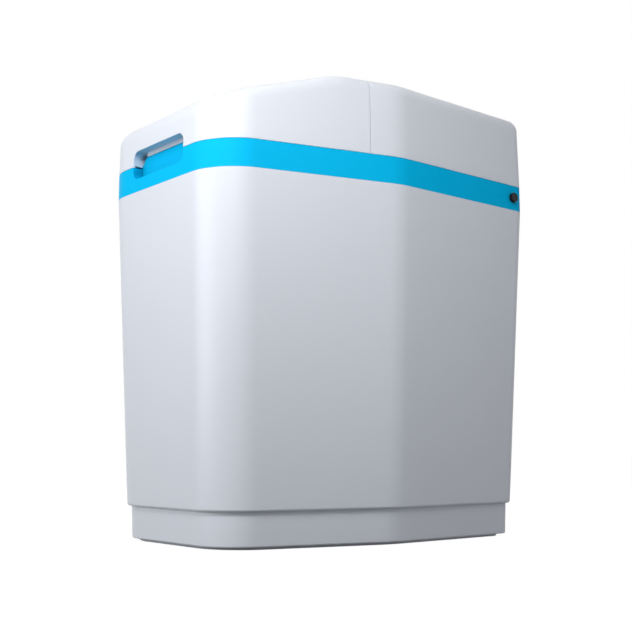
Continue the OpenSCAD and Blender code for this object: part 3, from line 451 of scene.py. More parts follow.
# %% Hollow and part the shells
SEAM_Y, SEAM_GAP, SEAM_SOFT, ON_CUT = -0.044, 0.0008, 0.0004, 0.00005


def copy_of(piece, name):
    """A copy with a mesh of its own."""
    twin = piece.copy()
    twin.data = piece.data.copy()
    twin.name = twin.data.name = name
    scene.collection.objects.link(twin)
    return twin


core = copy_of(form, "partition_wall")
give_wall(form)


def keep_side(piece, place, side):
    """Cut a shell with an upright plane across the cabinet and keep what lies behind or before it."""
    edit(piece)
    slice_off((0, place, 0), (0, -side, 0))
    round_edges(lambda e: all(abs(v.co.y - place) < ON_CUT for v in e.verts) and e.calc_face_angle(0) > 1,
                SEAM_SOFT, 2)
    done()


cover = copy_of(form, "rear_cover_shell")
lid = form
lid.name = lid.data.name = "salt_lid_shell"
keep_side(lid, SEAM_Y - SEAM_GAP / 2, -1)
keep_side(cover, SEAM_Y + SEAM_GAP / 2, 1)
print("parted:", len(lid.data.polygons), "faces of the lid,", len(cover.data.polygons), "of the cover")

# %% [markdown]
# ## Turned pieces
# Plug, keys, nuts, nipples and spigots are bodies of revolution, or six-sided in place of round.
# One disc is pulled from station to station and scaled at each, the way a lathe tool follows the
# outline. Only the list of stations differs, and a list may run back to make a hollow.

# %% The lathe
RIGHT, BACK, UP = (1, 0, 0), (0, 1, 0), (0, 0, 1)


def turned(name, start, along, stations, sides=48, phase=0.0):
    """Pull a disc from a start along a direction through stations of (distance, radius)."""
    start, along = Vector(start), Vector(along)
    reached, radius = stations[0]
    turn = along.to_track_quat("Z", "Y") @ Quaternion((0, 0, 1), phase)
    begin(name, bpy.ops.mesh.primitive_circle_add, vertices=sides, radius=radius, fill_type="NGON",
          location=start + along * reached, rotation=turn.to_euler())
    for distance, wider in stations[1:]:
        bpy.ops.mesh.extrude_region_move(TRANSFORM_OT_translate={"value": along * (distance - reached)})
        bpy.ops.transform.resize(value=(wider / radius,) * 3, center_override=start + along * distance)
        reached, radius = distance, wider
    bpy.ops.mesh.select_all(action="SELECT")
    bpy.ops.mesh.normals_make_consistent(inside=False)
    return done()


def shifted(piece, name, by):
    """A copy of a piece with its own mesh, moved inside that mesh."""
    twin = copy_of(piece, name)
    edit(twin)
    bpy.ops.transform.translate(value=by)
    return done()


# %% [markdown]
# ## The hinge
# Seven knuckles on one pin join lid and cover. The pin lies a finger's width behind the seam, so the
# lid's edge lifts clear of the cover as it turns, and the seam can be narrow. One knuckle is a bar
# with a root into its shell, bored for the pin. Every other copy belongs to the lid.

# %% One knuckle and its copies
FIT = 0.0003
HINGE_Y, HINGE_Z, HINGE_HALF = -0.034, 0.5565, 0.070
KNUCKLE_R, PIN_BORE_R, KNUCKLE_ROOT, KNUCKLES = 0.0032, 0.00155, 0.009, 7
KNUCKLE_PITCH = 2 * HINGE_HALF / KNUCKLES


def rod(name, radius, start, end, sides=64):
    """A plain round bar between two points, as a tool or the start of a piece."""
    start, end = Vector(start), Vector(end)
    along = end - start
    begin(name, bpy.ops.mesh.primitive_cylinder_add, vertices=sides, radius=radius, depth=along.length,
          location=(start + end) / 2, rotation=along.to_track_quat("Z", "Y").to_euler())
    return done()


def knuckle(far):
    """The first knuckle of the row, with a root that reaches to y = far."""
    x0, length, edge = -HINGE_HALF + FIT / 2, KNUCKLE_PITCH - FIT, 0.0003
    piece = turned("knuckle", (x0, HINGE_Y, HINGE_Z), RIGHT,
                   [(0, KNUCKLE_R - edge), (edge, KNUCKLE_R), (length - edge, KNUCKLE_R),
                    (length, KNUCKLE_R - edge)], 32)
    combine(piece, slab("knuckle_root", (x0 + 2 * edge, min(far, HINGE_Y), HINGE_Z - KNUCKLE_R + edge),
                        (x0 + length - 2 * edge, max(far, HINGE_Y), LID_TOP - WALL / 2)), "UNION")
    combine(piece, rod("pin_bore", PIN_BORE_R, (x0 - LAP, HINGE_Y, HINGE_Z),
                       (x0 + length + LAP, HINGE_Y, HINGE_Z), 24), "DIFFERENCE")
    return piece


def fit_knuckles(shell, first, far):
    """Fuse every other knuckle of the row, from the first one on, with a shell."""
    model = knuckle(far)
    for place in range(first, KNUCKLES, 2):
        combine(shell, shifted(model, "knuckle_copy", (place * KNUCKLE_PITCH, 0, 0)), "UNION")
    bpy.data.objects.remove(model)


# %% [markdown]
# ## The salt lid
# The lid takes the upper half of the pocket: the same slot, the same lining, and a small apron
# above the raised lip. The lining ends a little above the band, which leaves the dark line that one
# sees at the pocket's end. Over the band's lip the lining runs deeper, which closes the view into
# the cabinet past the lip's cut corners. The three knuckles reach back over the seam on short arms.

# %% The salt lid
APRON_HALF, APRON_GAP = GRIP_W / 2 - GRIP_R, 0.0006
LINING_GAP, DEEP_GAP, DEEP_REACH, MOUTH_SOFT = 0.002, 0.001, 0.011, 0.0008

open_mouth(lid, LID_BOTTOM + LAP, GRIP_TOP + NEARBY, MOUTH_SOFT, 3)
combine(lid, slot_lining("lid_lining", LID_BOTTOM + LINING_GAP, GRIP_TOP + PAST), "UNION")
combine(lid, slot_lining("deep_lining", LIP_TOP + DEEP_GAP, GRIP_TOP + PAST, DEEP_REACH), "UNION")
combine(lid, slab("lid_apron", (-APRON_HALF, GRIP_BACK + FIT, RAISED_TOP + APRON_GAP),
                  (APRON_HALF, GRIP_BACK + WALL, GRIP_TOP + GRIP_WALL)), "UNION")
fit_knuckles(lid, 1, SEAM_Y - KNUCKLE_ROOT)
dress(lid, "lid", "white_shell", "salt_lid")

# %% [markdown]
# ## The rear cover
# The cover needs a slot for the hinge, a notch over the water ports, a window for the control panel
# and a hole for the power inlet. Each is one tool, cut in turn. The partition is a slice of the
# closed form, a little narrower than the shell that it stands in.

# %% The rear cover
NOTCH_HALF, NOTCH_LOW, NOTCH_TOP, NOTCH_DEPTH, NOTCH_R = 0.088, 0.44, 0.503, 0.0075, 0.006
PANEL_Y, PANEL_W, PANEL_D, PANEL_R = 0.031, 0.150, 0.064, 0.006
POWER_X, POWER_Z, POWER_R = 0.120, 0.523, 0.0055
POWER_HOLE_IN, POWER_HOLE_OUT = 0.21, 0.25
PARTITION_Y, PARTITION_DROP, PARTITION_WIDTH = SEAM_Y + 0.005, 0.0035, 0.992
CORNER_STEPS = 8


def rounded_block(name, low, high, radius, axis):
    """A block whose four edges along one axis are rounded."""
    piece = slab(name, low, high)
    edit(piece)
    length = abs(high[axis] - low[axis])
    round_edges(lambda e: span(e, axis) > length / 2, radius, CORNER_STEPS)
    return done()


combine(cover, slab("hinge_slot", (-HINGE_HALF - FIT, SEAM_Y - 2 * LAP, HINGE_Z - KNUCKLE_R - LAP),
                    (HINGE_HALF + FIT, HINGE_Y + KNUCKLE_R + 2 * FIT, LID_TOP + LAP)), "DIFFERENCE")
combine(cover, rounded_block("port_notch", (-NOTCH_HALF, REAR.y - NOTCH_DEPTH, NOTCH_LOW),
                             (NOTCH_HALF, REAR.y + PAST, NOTCH_TOP), NOTCH_R, Y), "DIFFERENCE")
combine(cover, rounded_block("panel_window",
                             (-PANEL_W / 2 - FIT, PANEL_Y - PANEL_D / 2 - FIT, LID_TOP - PAST),
                             (PANEL_W / 2 + FIT, PANEL_Y + PANEL_D / 2 + FIT, LID_TOP + PAST),
                             PANEL_R + FIT, Z), "DIFFERENCE")
combine(cover, rod("power_hole", POWER_R + FIT, (POWER_X, POWER_HOLE_IN, POWER_Z),
                   (POWER_X, POWER_HOLE_OUT, POWER_Z)), "DIFFERENCE")
edit(core)
for place, outward in (((0, PARTITION_Y, 0), (0, -1, 0)), ((0, PARTITION_Y + WALL, 0), (0, 1, 0)),
                       ((0, 0, LIP_TOP + FIT), (0, 0, -1)), ((0, 0, HINGE_Z - PARTITION_DROP), (0, 0, 1))):
    slice_off(place, outward)
bpy.ops.mesh.select_all(action="SELECT")
bpy.ops.transform.resize(value=(PARTITION_WIDTH, 1, 1), center_override=(0, 0, 0))
done()
combine(cover, core, "UNION")
fit_knuckles(cover, 0, HINGE_Y + KNUCKLE_ROOT)
dress(cover, "cover", "white_shell", "rear_cover")

# %% [markdown]
# ## The overflow plug
# The black hexagon on the right side closes the overflow. It is moulded with a narrow chamfer
# and a slightly sunk face, and its shank reaches through the band's wall.

# %% The overflow plug
PLUG_X, PLUG_Y, PLUG_Z, PLUG_R, SHANK_IN = 0.1928, 0.204, 0.4465, 0.007, 0.0113

plug = turned("overflow_plug_head", (PLUG_X, PLUG_Y, PLUG_Z), RIGHT,
              [(0, PLUG_R - 0.0003), (0.0003, PLUG_R), (0.0037, PLUG_R), (0.0046, PLUG_R - 0.0010),
               (0.0046, PLUG_R - 0.0019), (0.0042, PLUG_R - 0.0024)], sides=6)
combine(plug, turned("plug_shank", (PLUG_X - SHANK_IN, PLUG_Y, PLUG_Z), RIGHT,
                     [(0, 0.0035), (0.0005, 0.004), (0.0125, 0.004)], sides=32), "UNION")
dress(plug, "base", "black_plastic", "overflow_plug")

# %% [markdown]
# ## The control panel
# A black bezel sits in the cover's window. A lip under it holds it against the cover, and four
# posts carry the circuit board. The display lens lies in a seat, and the four keys come up through
# round holes. The lip and the posts are fused first, because seat, window and holes go through all.

# %% The panel
PANEL_TOP, PANEL_UNDER, PANEL_LIP, PANEL_LIP_T, PANEL_SOFT = 0.5597, 0.555, 0.004, 0.002, 0.0006
POST_IN, POST_DROP = 0.007, 0.008
LENS_X, LENS_W, LENS_D, LENS_T, LENS_LEDGE = -0.030, 0.072, 0.034, 0.002, 0.003
BUTTON_R = 0.0055
BUTTONS = {"menu": (0.030, 0.044), "up": (0.056, 0.044), "down": (0.056, 0.018), "start": (0.030, 0.018)}


def plate(name, x, width, depth, low, high, radius):
    """A flat plate with rounded corners, centred on the panel's line."""
    return rounded_block(name, (x - width / 2, PANEL_Y - depth / 2, low),
                         (x + width / 2, PANEL_Y + depth / 2, high), radius, Z)


panel = plate("panel_bezel", 0, PANEL_W, PANEL_D, PANEL_UNDER, PANEL_TOP, PANEL_R)
edit(panel)
round_edges(lambda e: level_edge(e, PANEL_TOP), PANEL_SOFT, 3)
done()
combine(panel, plate("panel_lip", 0, PANEL_W + 2 * PANEL_LIP, PANEL_D + 2 * PANEL_LIP, PANEL_UNDER,
                     PANEL_UNDER + PANEL_LIP_T, PANEL_R + PANEL_LIP), "UNION")
for side in (-1, 1):
    for end in (-1, 1):
        post = (side * (PANEL_W / 2 - POST_IN), PANEL_Y + end * (PANEL_D / 2 - POST_IN),
                PANEL_UNDER - POST_DROP)
        combine(panel, turned("board_post", post, UP, [(0, 0.0021), (0.0004, 0.0025), (0.009, 0.0025)], 24),
                "UNION")
combine(panel, plate("lens_seat", LENS_X, LENS_W, LENS_D,
                     PANEL_TOP - LENS_T, PANEL_TOP + 2 * LAP, LENS_LEDGE), "DIFFERENCE")
combine(panel, plate("lens_window", LENS_X, LENS_W - 2 * LENS_LEDGE, LENS_D - 2 * LENS_LEDGE,
                     PANEL_UNDER - 2 * LAP, PANEL_TOP + 2 * LAP, LENS_LEDGE), "DIFFERENCE")
for x, y in BUTTONS.values():
    combine(panel, turned("key_hole", (x, y, PANEL_UNDER - LAP), UP,
                          [(0, BUTTON_R + FIT), (0.0051, BUTTON_R + FIT), (0.0067, BUTTON_R + FIT + 0.0016)]),
            "DIFFERENCE")
dress(panel, "cover", "black_plastic", "control_panel")

# %% [markdown]
# ## The display lens
# A clear window with a polished chamfer. The chamfer catches the light and shows where the lens
# ends and the bezel begins.

# %% The lens
LENS_SOFT = 0.0005

lens = plate("display_window", LENS_X, LENS_W - FIT, LENS_D - FIT, PANEL_TOP - LENS_T, PANEL_TOP, LENS_LEDGE)
edit(lens)
round_edges(lambda e: level_edge(e, PANEL_TOP), LENS_SOFT, 2)
done()
dress(lens, "cover", "display_glass", "display_lens")

# %% [markdown]
# ## The four keys
# Every key is the same turned cap with a retaining foot, a stem over its switch and a dished top.
# So one cap is made and copied. Only the raised mark in the dish differs: three bars, a triangle
# each way and a ring.

# %% The keys
KEY_FOOT, KEY_TOP, DISH = 0.552, 0.560, 0.5597
MARK_SINK, MARK_BELOW = 0.0006, 0.0001
BAR_HALF_L, BAR_HALF_W, BAR_PITCH = 0.0016, 0.0002, 0.001
RING_R, RING_HOLE_R = 0.0018, 0.0012

cap = turned("key_cap", (0, 0, KEY_FOOT), UP,
             [(0, 0.0015), (0.0015, 0.0015), (0.0015, 0.0070), (0.0027, 0.0070), (0.0027, BUTTON_R),
              (0.0073, BUTTON_R), (0.0077, BUTTON_R - 0.0002), (0.0080, BUTTON_R - 0.0007),
              (0.0080, BUTTON_R - 0.0012), (0.0076, BUTTON_R - 0.0022)])


def key_mark(kind):
    """The raised sign in a key's dish, as a list of pieces around the key's own axis."""
    low, high = DISH - MARK_SINK, KEY_TOP - MARK_BELOW
    if kind == "menu":
        return [slab("bar", (-BAR_HALF_L, y - BAR_HALF_W, low), (BAR_HALF_L, y + BAR_HALF_W, high))
                for y in (-BAR_PITCH, 0, BAR_PITCH)]
    if kind == "start":
        ring = turned("ring", (0, 0, low), UP, [(0, RING_R), (high - low, RING_R)], 32)
        combine(ring, rod("ring_hole", RING_HOLE_R, (0, 0, low - LAP), (0, 0, high + LAP), 32), "DIFFERENCE")
        return [ring]
    turn = math.pi if kind == "down" else 0.0
    return [turned("arrow", (0, 0, low), UP, [(0, 0.0019), (high - low, 0.0018)], 3, turn)]


for kind, (x, y) in BUTTONS.items():
    key = copy_of(cap, kind + "_key")
    for mark in key_mark(kind):
        combine(key, mark, "UNION")
    edit(key)
    bpy.ops.transform.translate(value=(x, y, 0))
    done()
    dress(key, kind, "grey_button", kind + "_button")
bpy.data.objects.remove(cap)

# %% [markdown]
# ## The power inlet
# A low-voltage lead plugs in at the back of the cover. The socket is one outline: up the barrel,
# over the flange, down into the bore and out again along the contact pin.

# %% The power inlet
POWER_Y = 0.2167

inlet = turned("power_socket", (POWER_X, POWER_Y, POWER_Z), BACK,
               [(0, 0.0051), (0.0004, POWER_R), (0.0140, POWER_R), (0.0140, 0.0075), (0.0152, 0.0075),
                (0.0158, 0.0069), (0.0158, 0.0033), (0.0153, 0.00275), (0.0042, 0.00275), (0.0042, 0.0011),
                (0.0136, 0.0011), (0.0140, 0.0007)])
dress(inlet, "cover", "black_plastic", "power_inlet")

# %% [markdown]
# ## The bypass
# Behind the cabinet two housings let the owner turn the water past the softener. One side is
# modelled with its arm, its upright housing and their bores, and copied for the other. A cross
# tube joins the two. The outer edges carry a mould's chamfer and each arm a shallow bead.

# %% The bypass body
PORT_X, PORT_Z, BYPASS_Y, ROTOR_Y = 0.032, 0.486, 0.2375, 0.2795
HOUSING_R, ARM_R, ROTOR_R, WATER_R = 0.020, 0.0197, 0.014, 0.0105
HOUSING_LOW, ROTOR_BORE_LOW, ROTOR_BORE_TOP, ROTOR_PLAY = 0.464, 0.468, 0.514, 0.0001
SOCKET_R, SOCKET_END, ARM_END, CROSS_HALF = 0.0163, 0.2518, 0.315, 0.0176
ACROSS = (2 * PORT_X, 0, 0)


def on_port(y):
    """A point on the axis of the inlet port."""
    return (-PORT_X, y, PORT_Z)


def on_rotor(z):
    """A point on the axis of the inlet's rotor."""
    return (-PORT_X, ROTOR_Y, z)


def drill(piece, radius, near, far):
    """Bore a piece along the axis of the inlet port, from one y to another."""
    combine(piece, rod("port_bore", radius, on_port(near), on_port(far)), "DIFFERENCE")


bypass = turned("bypass_block", on_port(BYPASS_Y), BACK,
                [(0, 0.0185), (0.0012, ARM_R), (0.0070, ARM_R), (0.0076, 0.0191), (0.0100, 0.0191),
                 (0.0106, ARM_R), (0.0628, ARM_R), (0.0640, 0.0185), (0.0640, 0.0180), (0.0754, 0.0180),
                 (0.0760, 0.0174)], 64)
combine(bypass, turned("housing", on_rotor(HOUSING_LOW), UP,
                       [(0, 0.0185), (0.0015, HOUSING_R), (0.0468, HOUSING_R), (0.0480, 0.0188)], 64),
        "UNION")
drill(bypass, SOCKET_R, BYPASS_Y - LAP, SOCKET_END)
drill(bypass, WATER_R, BYPASS_Y, ARM_END)
combine(bypass, rod("rotor_bore", ROTOR_R + ROTOR_PLAY, on_rotor(ROTOR_BORE_LOW), on_rotor(ROTOR_BORE_TOP)),
        "DIFFERENCE")
combine(bypass, shifted(bypass, "bypass_twin", ACROSS), "UNION")
combine(bypass, rod("cross_tube", WATER_R + WALL, (-CROSS_HALF, ROTOR_Y, PORT_Z),
                    (CROSS_HALF, ROTOR_Y, PORT_Z)), "UNION")
dress(bypass, "base", "dark_valve", "bypass_body")

# %% [markdown]
# ## The red handles
# Each housing holds a rotor with a waterway through it. On its collar stands a bar to turn it by,
# with a hollow on either side for thumb and finger and a groove on top that shows where it points.

# %% The handles
ROTOR_LOW, NARROW_R = 0.4683, WATER_R - 0.001
HANDLE_LOW, HANDLE_TOP, HANDLE_W, HANDLE_L = 0.5123, 0.5293, 0.012, 0.044
HANDLE_R, HANDLE_SOFT = 0.0057, 0.0018
HOLLOW_R, HOLLOW_OUT, HOLLOW_Z = 0.0145, 0.0130, 0.5262
POINTER_HALF_W, POINTER_FROM, POINTER_TO, POINTER_DEPTH = 0.0009, 0.004, 0.019, 0.0007
ROTOR_WAY = 0.25, 0.31

handle = turned("inlet_handle", on_rotor(ROTOR_LOW), UP,
                [(0, 0.0134), (0.0006, ROTOR_R), (0.0440, ROTOR_R), (0.0440, 0.0190), (0.0450, HOUSING_R),
                 (0.0478, HOUSING_R), (0.0490, 0.0188)], 64)
drill(handle, NARROW_R, *ROTOR_WAY)
grip = rounded_block("grip", (-PORT_X - HANDLE_W / 2, ROTOR_Y - HANDLE_L / 2, HANDLE_LOW),
                     (-PORT_X + HANDLE_W / 2, ROTOR_Y + HANDLE_L / 2, HANDLE_TOP), HANDLE_R, Z)
edit(grip)
round_edges(lambda e: level_edge(e, HANDLE_TOP), HANDLE_SOFT, 4)
done()
for side in (-1, 1):
    x = -PORT_X + side * (HANDLE_W / 2 + HOLLOW_OUT)
    combine(grip, rod("hollow", HOLLOW_R, (x, ROTOR_Y - HOLLOW_R, HOLLOW_Z),
                      (x, ROTOR_Y + HOLLOW_R, HOLLOW_Z)), "DIFFERENCE")
combine(grip, slab("pointer", (-PORT_X - POINTER_HALF_W, ROTOR_Y + POINTER_FROM, HANDLE_TOP - POINTER_DEPTH),
                   (-PORT_X + POINTER_HALF_W, ROTOR_Y + POINTER_TO, HANDLE_TOP + LAP)), "DIFFERENCE")
combine(handle, grip, "UNION")
dress(shifted(handle, "outlet_handle", ACROSS), "outlet_valve", "red_handle", "outlet_bypass_valve")
dress(handle, "inlet_valve", "red_handle", "inlet_bypass_valve")

# %% [markdown]
# ## Union nuts and nipples
# The house pipes screw on here. A nut is a hexagon whose corners a round chamfer has taken off, so
# a hexagon and a turned body are intersected. A nipple is turned brass with a rolled thread: ring
# after ring of flank, crest and flank.

# %% Nuts and nipples
NUT_Y, NUT_L, NUT_R, NUT_FACE_R, NUT_CHAMFER = 0.3018, 0.019, 0.026, 0.0228, 0.0022
NUT_BORE_R, NUT_BORE_END, NUT_MOUTH_END = 0.0183, 0.3171, 0.33
NIPPLE_Y, THREAD_AT, THREAD_END, CREST, ROOT = 0.3138, 0.008, 0.028, 0.0132, 0.0122
NIPPLE_BORE = 0.31, 0.345
TURNS = 11

nut = turned("inlet_union_nut", on_port(NUT_Y), BACK, [(0, NUT_R), (NUT_L, NUT_R)], 6, math.pi / 2)
combine(nut, turned("nut_chamfer", on_port(NUT_Y), BACK,
                    [(0, NUT_FACE_R), (NUT_CHAMFER, NUT_R), (NUT_L - NUT_CHAMFER, NUT_R),
                     (NUT_L, NUT_FACE_R)], 64), "INTERSECT")
drill(nut, NUT_BORE_R, NUT_Y - LAP, NUT_BORE_END)
drill(nut, CREST + FIT, NUT_Y, NUT_MOUTH_END)
dress(shifted(nut, "outlet_union_nut", ACROSS), "base", "black_plastic", "outlet_nut")
dress(nut, "base", "black_plastic", "inlet_nut")

pitch = (THREAD_END - THREAD_AT) / TURNS
thread = [(THREAD_AT + (turn + part) * pitch, radius) for turn in range(TURNS)
          for part, radius in ((0.1, ROOT), (0.45, CREST), (0.6, CREST), (0.95, ROOT))]
nipple = turned("inlet_pipe_nipple", on_port(NIPPLE_Y), BACK,
                [(0, 0.0173), (0.0004, 0.0177), (0.0026, 0.0177), (0.0030, 0.0173), (0.0030, 0.0127),
                 (0.0078, 0.0127)] + thread + [(THREAD_END, ROOT - 0.0002)])
drill(nipple, NARROW_R, *NIPPLE_BORE)
dress(shifted(nipple, "outlet_pipe_nipple", ACROSS), "base", "brass", "outlet_nipple")
dress(nipple, "base", "brass", "inlet_nipple")

# %% [markdown]
# ## The drain elbow
# The rinse water leaves through an elbow beside the ports. A hose is pushed over its spigot, so the
# spigot carries saw-toothed barbs that let the hose slide on and keep it from coming off.

# %% The drain elbow
DRAIN_X, DRAIN_Y, DRAIN_R, SPIGOT_AT = 0.074, 0.1232, 0.010, 0.1163
ELBOW_ARM_X, BARB_PITCH, BARBS = 0.058, 0.006, 3
DRAIN_BORE_R, DRAIN_BORE_IN, DRAIN_BORE_OUT = 0.0039, 0.2, 0.27

drain = turned("drain_fitting", (DRAIN_X, DRAIN_Y, PORT_Z), BACK,
               [(0, DRAIN_R), (0.1060, DRAIN_R), (0.1064, 0.0094), (0.1078, 0.0094), (0.1082, DRAIN_R),
                (SPIGOT_AT - 0.0008, DRAIN_R), (SPIGOT_AT, 0.0092), (SPIGOT_AT, 0.0056)]
               + [(SPIGOT_AT + BARB_PITCH + barb * BARB_PITCH + along, radius) for barb in range(BARBS)
                  for along, radius in ((0, 0.0056), (0.0004, 0.0065), (0.0050, 0.0057))]
               + [(SPIGOT_AT + 0.0252, 0.0056), (SPIGOT_AT + 0.026, 0.0048)])
begin("elbow_ball", bpy.ops.mesh.primitive_uv_sphere_add, segments=32, ring_count=16, radius=DRAIN_R,
      location=(DRAIN_X, DRAIN_Y, PORT_Z))
combine(drain, done(), "UNION")
combine(drain, turned("elbow_arm", (ELBOW_ARM_X, DRAIN_Y, PORT_Z), RIGHT,
                      [(0, 0.0093), (0.0007, DRAIN_R), (0.016, DRAIN_R)]), "UNION")
combine(drain, rod("drain_bore", DRAIN_BORE_R, (DRAIN_X, DRAIN_BORE_IN, PORT_Z),
                   (DRAIN_X, DRAIN_BORE_OUT, PORT_Z), 32), "DIFFERENCE")
dress(drain, "base", "black_plastic", "drain_elbow")

# %% [markdown]
# ## The brine line
# A stiff plastic line runs from the valve in the brine well up to the injector. Both ends sit in
# fittings, so it never moves. A Bezier curve through its clips, given a round section, is turned
# into a mesh, which makes smoother bends than straight lengths would.

# %% The brine line
LINE_R = 0.00475
CLIPS = [(-0.08204, -0.02658, 0.0625), (-0.08204, -0.02658, 0.1525), (-0.08204, -0.02658, 0.2425),
         (-0.08204, -0.02658, 0.3360), (-0.08004, -0.01958, 0.3660), (-0.07404, 0.00142, 0.3860),
         (-0.07404, 0.02942, 0.4100), (-0.07904, 0.05624, 0.4170), (-0.07704, 0.07624, 0.4200),
         (-0.06700, 0.09024, 0.4200), (-0.05000, 0.09024, 0.4200)]

bpy.ops.object.select_all(action="DESELECT")
bpy.ops.curve.primitive_bezier_curve_add(location=(0, 0, 0))
line = bpy.context.object
line.name = line.data.name = "brine_line"
bends = line.data.splines[0].bezier_points
bends.add(len(CLIPS) - len(bends))
for bend, clip in zip(bends, CLIPS):
    bend.co = clip
    bend.handle_left_type = bend.handle_right_type = "AUTO"
line.data.bevel_depth, line.data.bevel_resolution, line.data.use_fill_caps = LINE_R, 6, True
alone(line)
bpy.ops.object.convert(target="MESH")
line = bpy.context.object
edit(line)
bpy.ops.mesh.remove_doubles(threshold=0.00001)
bpy.ops.mesh.normals_make_consistent(inside=False)
done()
dress(line, "base", "clear_tube", "brine_tube")

# %% [markdown]
# ## The camera
# The camera stands low in front of the right corner and looks slightly up, which is why the walls
# seem to lean apart towards the top. A longer lens from further off would show them more nearly
# parallel, so place, tilt and lens were chosen together, by the outline in the photograph.

# %% Camera
camera = bpy.data.objects.new("camera", bpy.data.cameras.new("camera"))
scene.collection.objects.link(camera)
camera.location = (1.0498, -0.8600, 0.111)
camera.rotation_euler = (math.radians(90 + 7.46), 0, math.radians(50.0))
camera.data.lens = 58.2
camera.data.sensor_width = 36
camera.data.clip_start = 0.01
scene.camera = camera
scene.view_settings.view_transform = "Standard"
print("camera:", camera.data.lens, "mm lens at", round(camera.location.length, 2), "m")

# %% [markdown]
# ## Writing shaders as sums
# A material here is a short sum: a colour that drifts a little, a gloss that drifts with it and a
# grain for the light to catch. `Wire` stands for one socket, so plus, minus and times on it add the
# Math nodes, and its `node` method adds any other node with its settings and inputs.


# %% The wire between nodes
class Wire:
    """An output socket of a node tree, which arithmetic can be done with."""

    def __init__(self, tree, socket=None):
        self.tree, self.socket = tree, socket

    def node(self, kind, settings=None, inputs=None, output=0):
        """Add a node, set it up, feed its sockets with values or wires, and return one output."""
        made = self.tree.nodes.new(kind)
        for key, value in (settings or {}).items():
            setattr(made, key, value)
        for key, value in (inputs or {}).items():
            if isinstance(value, Wire):
                self.tree.links.new(value.socket, made.inputs[key])
            else:
                made.inputs[key].default_value = value
        return Wire(self.tree, made.outputs[output]) if made.outputs else made

    def maths(self, operation, left, right):
        """Add a Math node for two values or wires."""
        return self.node("ShaderNodeMath", {"operation": operation}, {0: left, 1: right})

    def __add__(self, other):
        return self.maths("ADD", self, other)

    def __sub__(self, other):
        return self.maths("SUBTRACT", self, other)

    def __rsub__(self, other):
        return self.maths("SUBTRACT", other, self)

    def __mul__(self, other):
        return self.maths("MULTIPLY", self, other)

    __radd__, __rmul__ = __add__, __mul__


def srgb(red, green, blue):
    """A colour as a screen shows it, 0 to 255, as the linear colour that a shader takes."""
    channels = [c / 255 for c in (red, green, blue)]
    return tuple(c / 12.92 if c <= 0.04045 else ((c + 0.055) / 1.055) ** 2.4 for c in channels) + (1.0,)


# %% [markdown]
# ## The finishes
# Moulded plastic is never one flat colour: its tone drifts over a hand's width, its gloss is uneven,
# and a fine spark texture breaks the highlight. Metal differs in being streaked along its turning or
# rolling direction. So one recipe serves all, with the size of grain and the stretch as its values.
# It can also paint shade into the colour wherever a surface lies in a hollow, as on the blue band.


# %% The recipe
CLOUD_SCALE, GLOSS_DRIFT, GLOSS_GRAIN, GRAIN_DEPTH, PAINTED_SHADE_REACH = 9.0, 0.12, 0.08, 0.0004, 0.03


def scaled(colour, factor):
    """A colour made darker or lighter by a factor."""
    return tuple(min(1.0, c * factor) for c in colour[:3]) + (1.0,)


def finish(name, colour, roughness, drift=0.03, grain=1500.0, relief=0.06, stretch=(1, 1, 1), hollow=0.0,
           **fixed):
    """A surface whose tone, gloss and fine grain change over its own coordinates, with painted shade in
    hollows.
    """
    material = bpy.data.materials.new(name)
    material.use_nodes = True
    tree = material.node_tree
    shader = tree.nodes["Principled BSDF"]
    wire = Wire(tree)
    place = wire.node("ShaderNodeTexCoord", output="Object")
    place = wire.node("ShaderNodeMapping", inputs={"Vector": place, "Scale": stretch})
    cloud = wire.node("ShaderNodeTexNoise", inputs={"Vector": place, "Scale": CLOUD_SCALE, "Detail": 3.0})
    fine = wire.node("ShaderNodeTexNoise", inputs={"Vector": place, "Scale": grain, "Detail": 2.0})
    darker, lighter, deep = (scaled(colour, factor) for factor in (1 - drift, 1 + drift, 1 - hollow))
    tone = wire.node("ShaderNodeMix", {"data_type": "RGBA"}, {0: cloud, 6: darker, 7: lighter}, output=2)
    # Painted shade: ambient occlusion darkens the base colour towards a shaded copy in hollows and recesses.
    if hollow:
        painted_shade_mask = wire.node("ShaderNodeAmbientOcclusion", {"samples": 8}, {"Distance": PAINTED_SHADE_REACH},
                             output="AO")
        tone = wire.node("ShaderNodeMix", {"data_type": "RGBA"}, {0: painted_shade_mask, 6: deep, 7: tone}, output=2)
    gloss = roughness + (cloud - 0.5) * GLOSS_DRIFT + (fine - 0.5) * GLOSS_GRAIN
    bump = wire.node("ShaderNodeBump", inputs={"Strength": relief, "Distance": GRAIN_DEPTH, "Height": fine})
    for socket, value in (("Base Color", tone), ("Roughness", gloss), ("Normal", bump)):
        tree.links.new(value.socket, shader.inputs[socket])
    for key, value in fixed.items():
        shader.inputs[key.replace("_", " ").title().replace("Ior", "IOR")].default_value = value
    return material


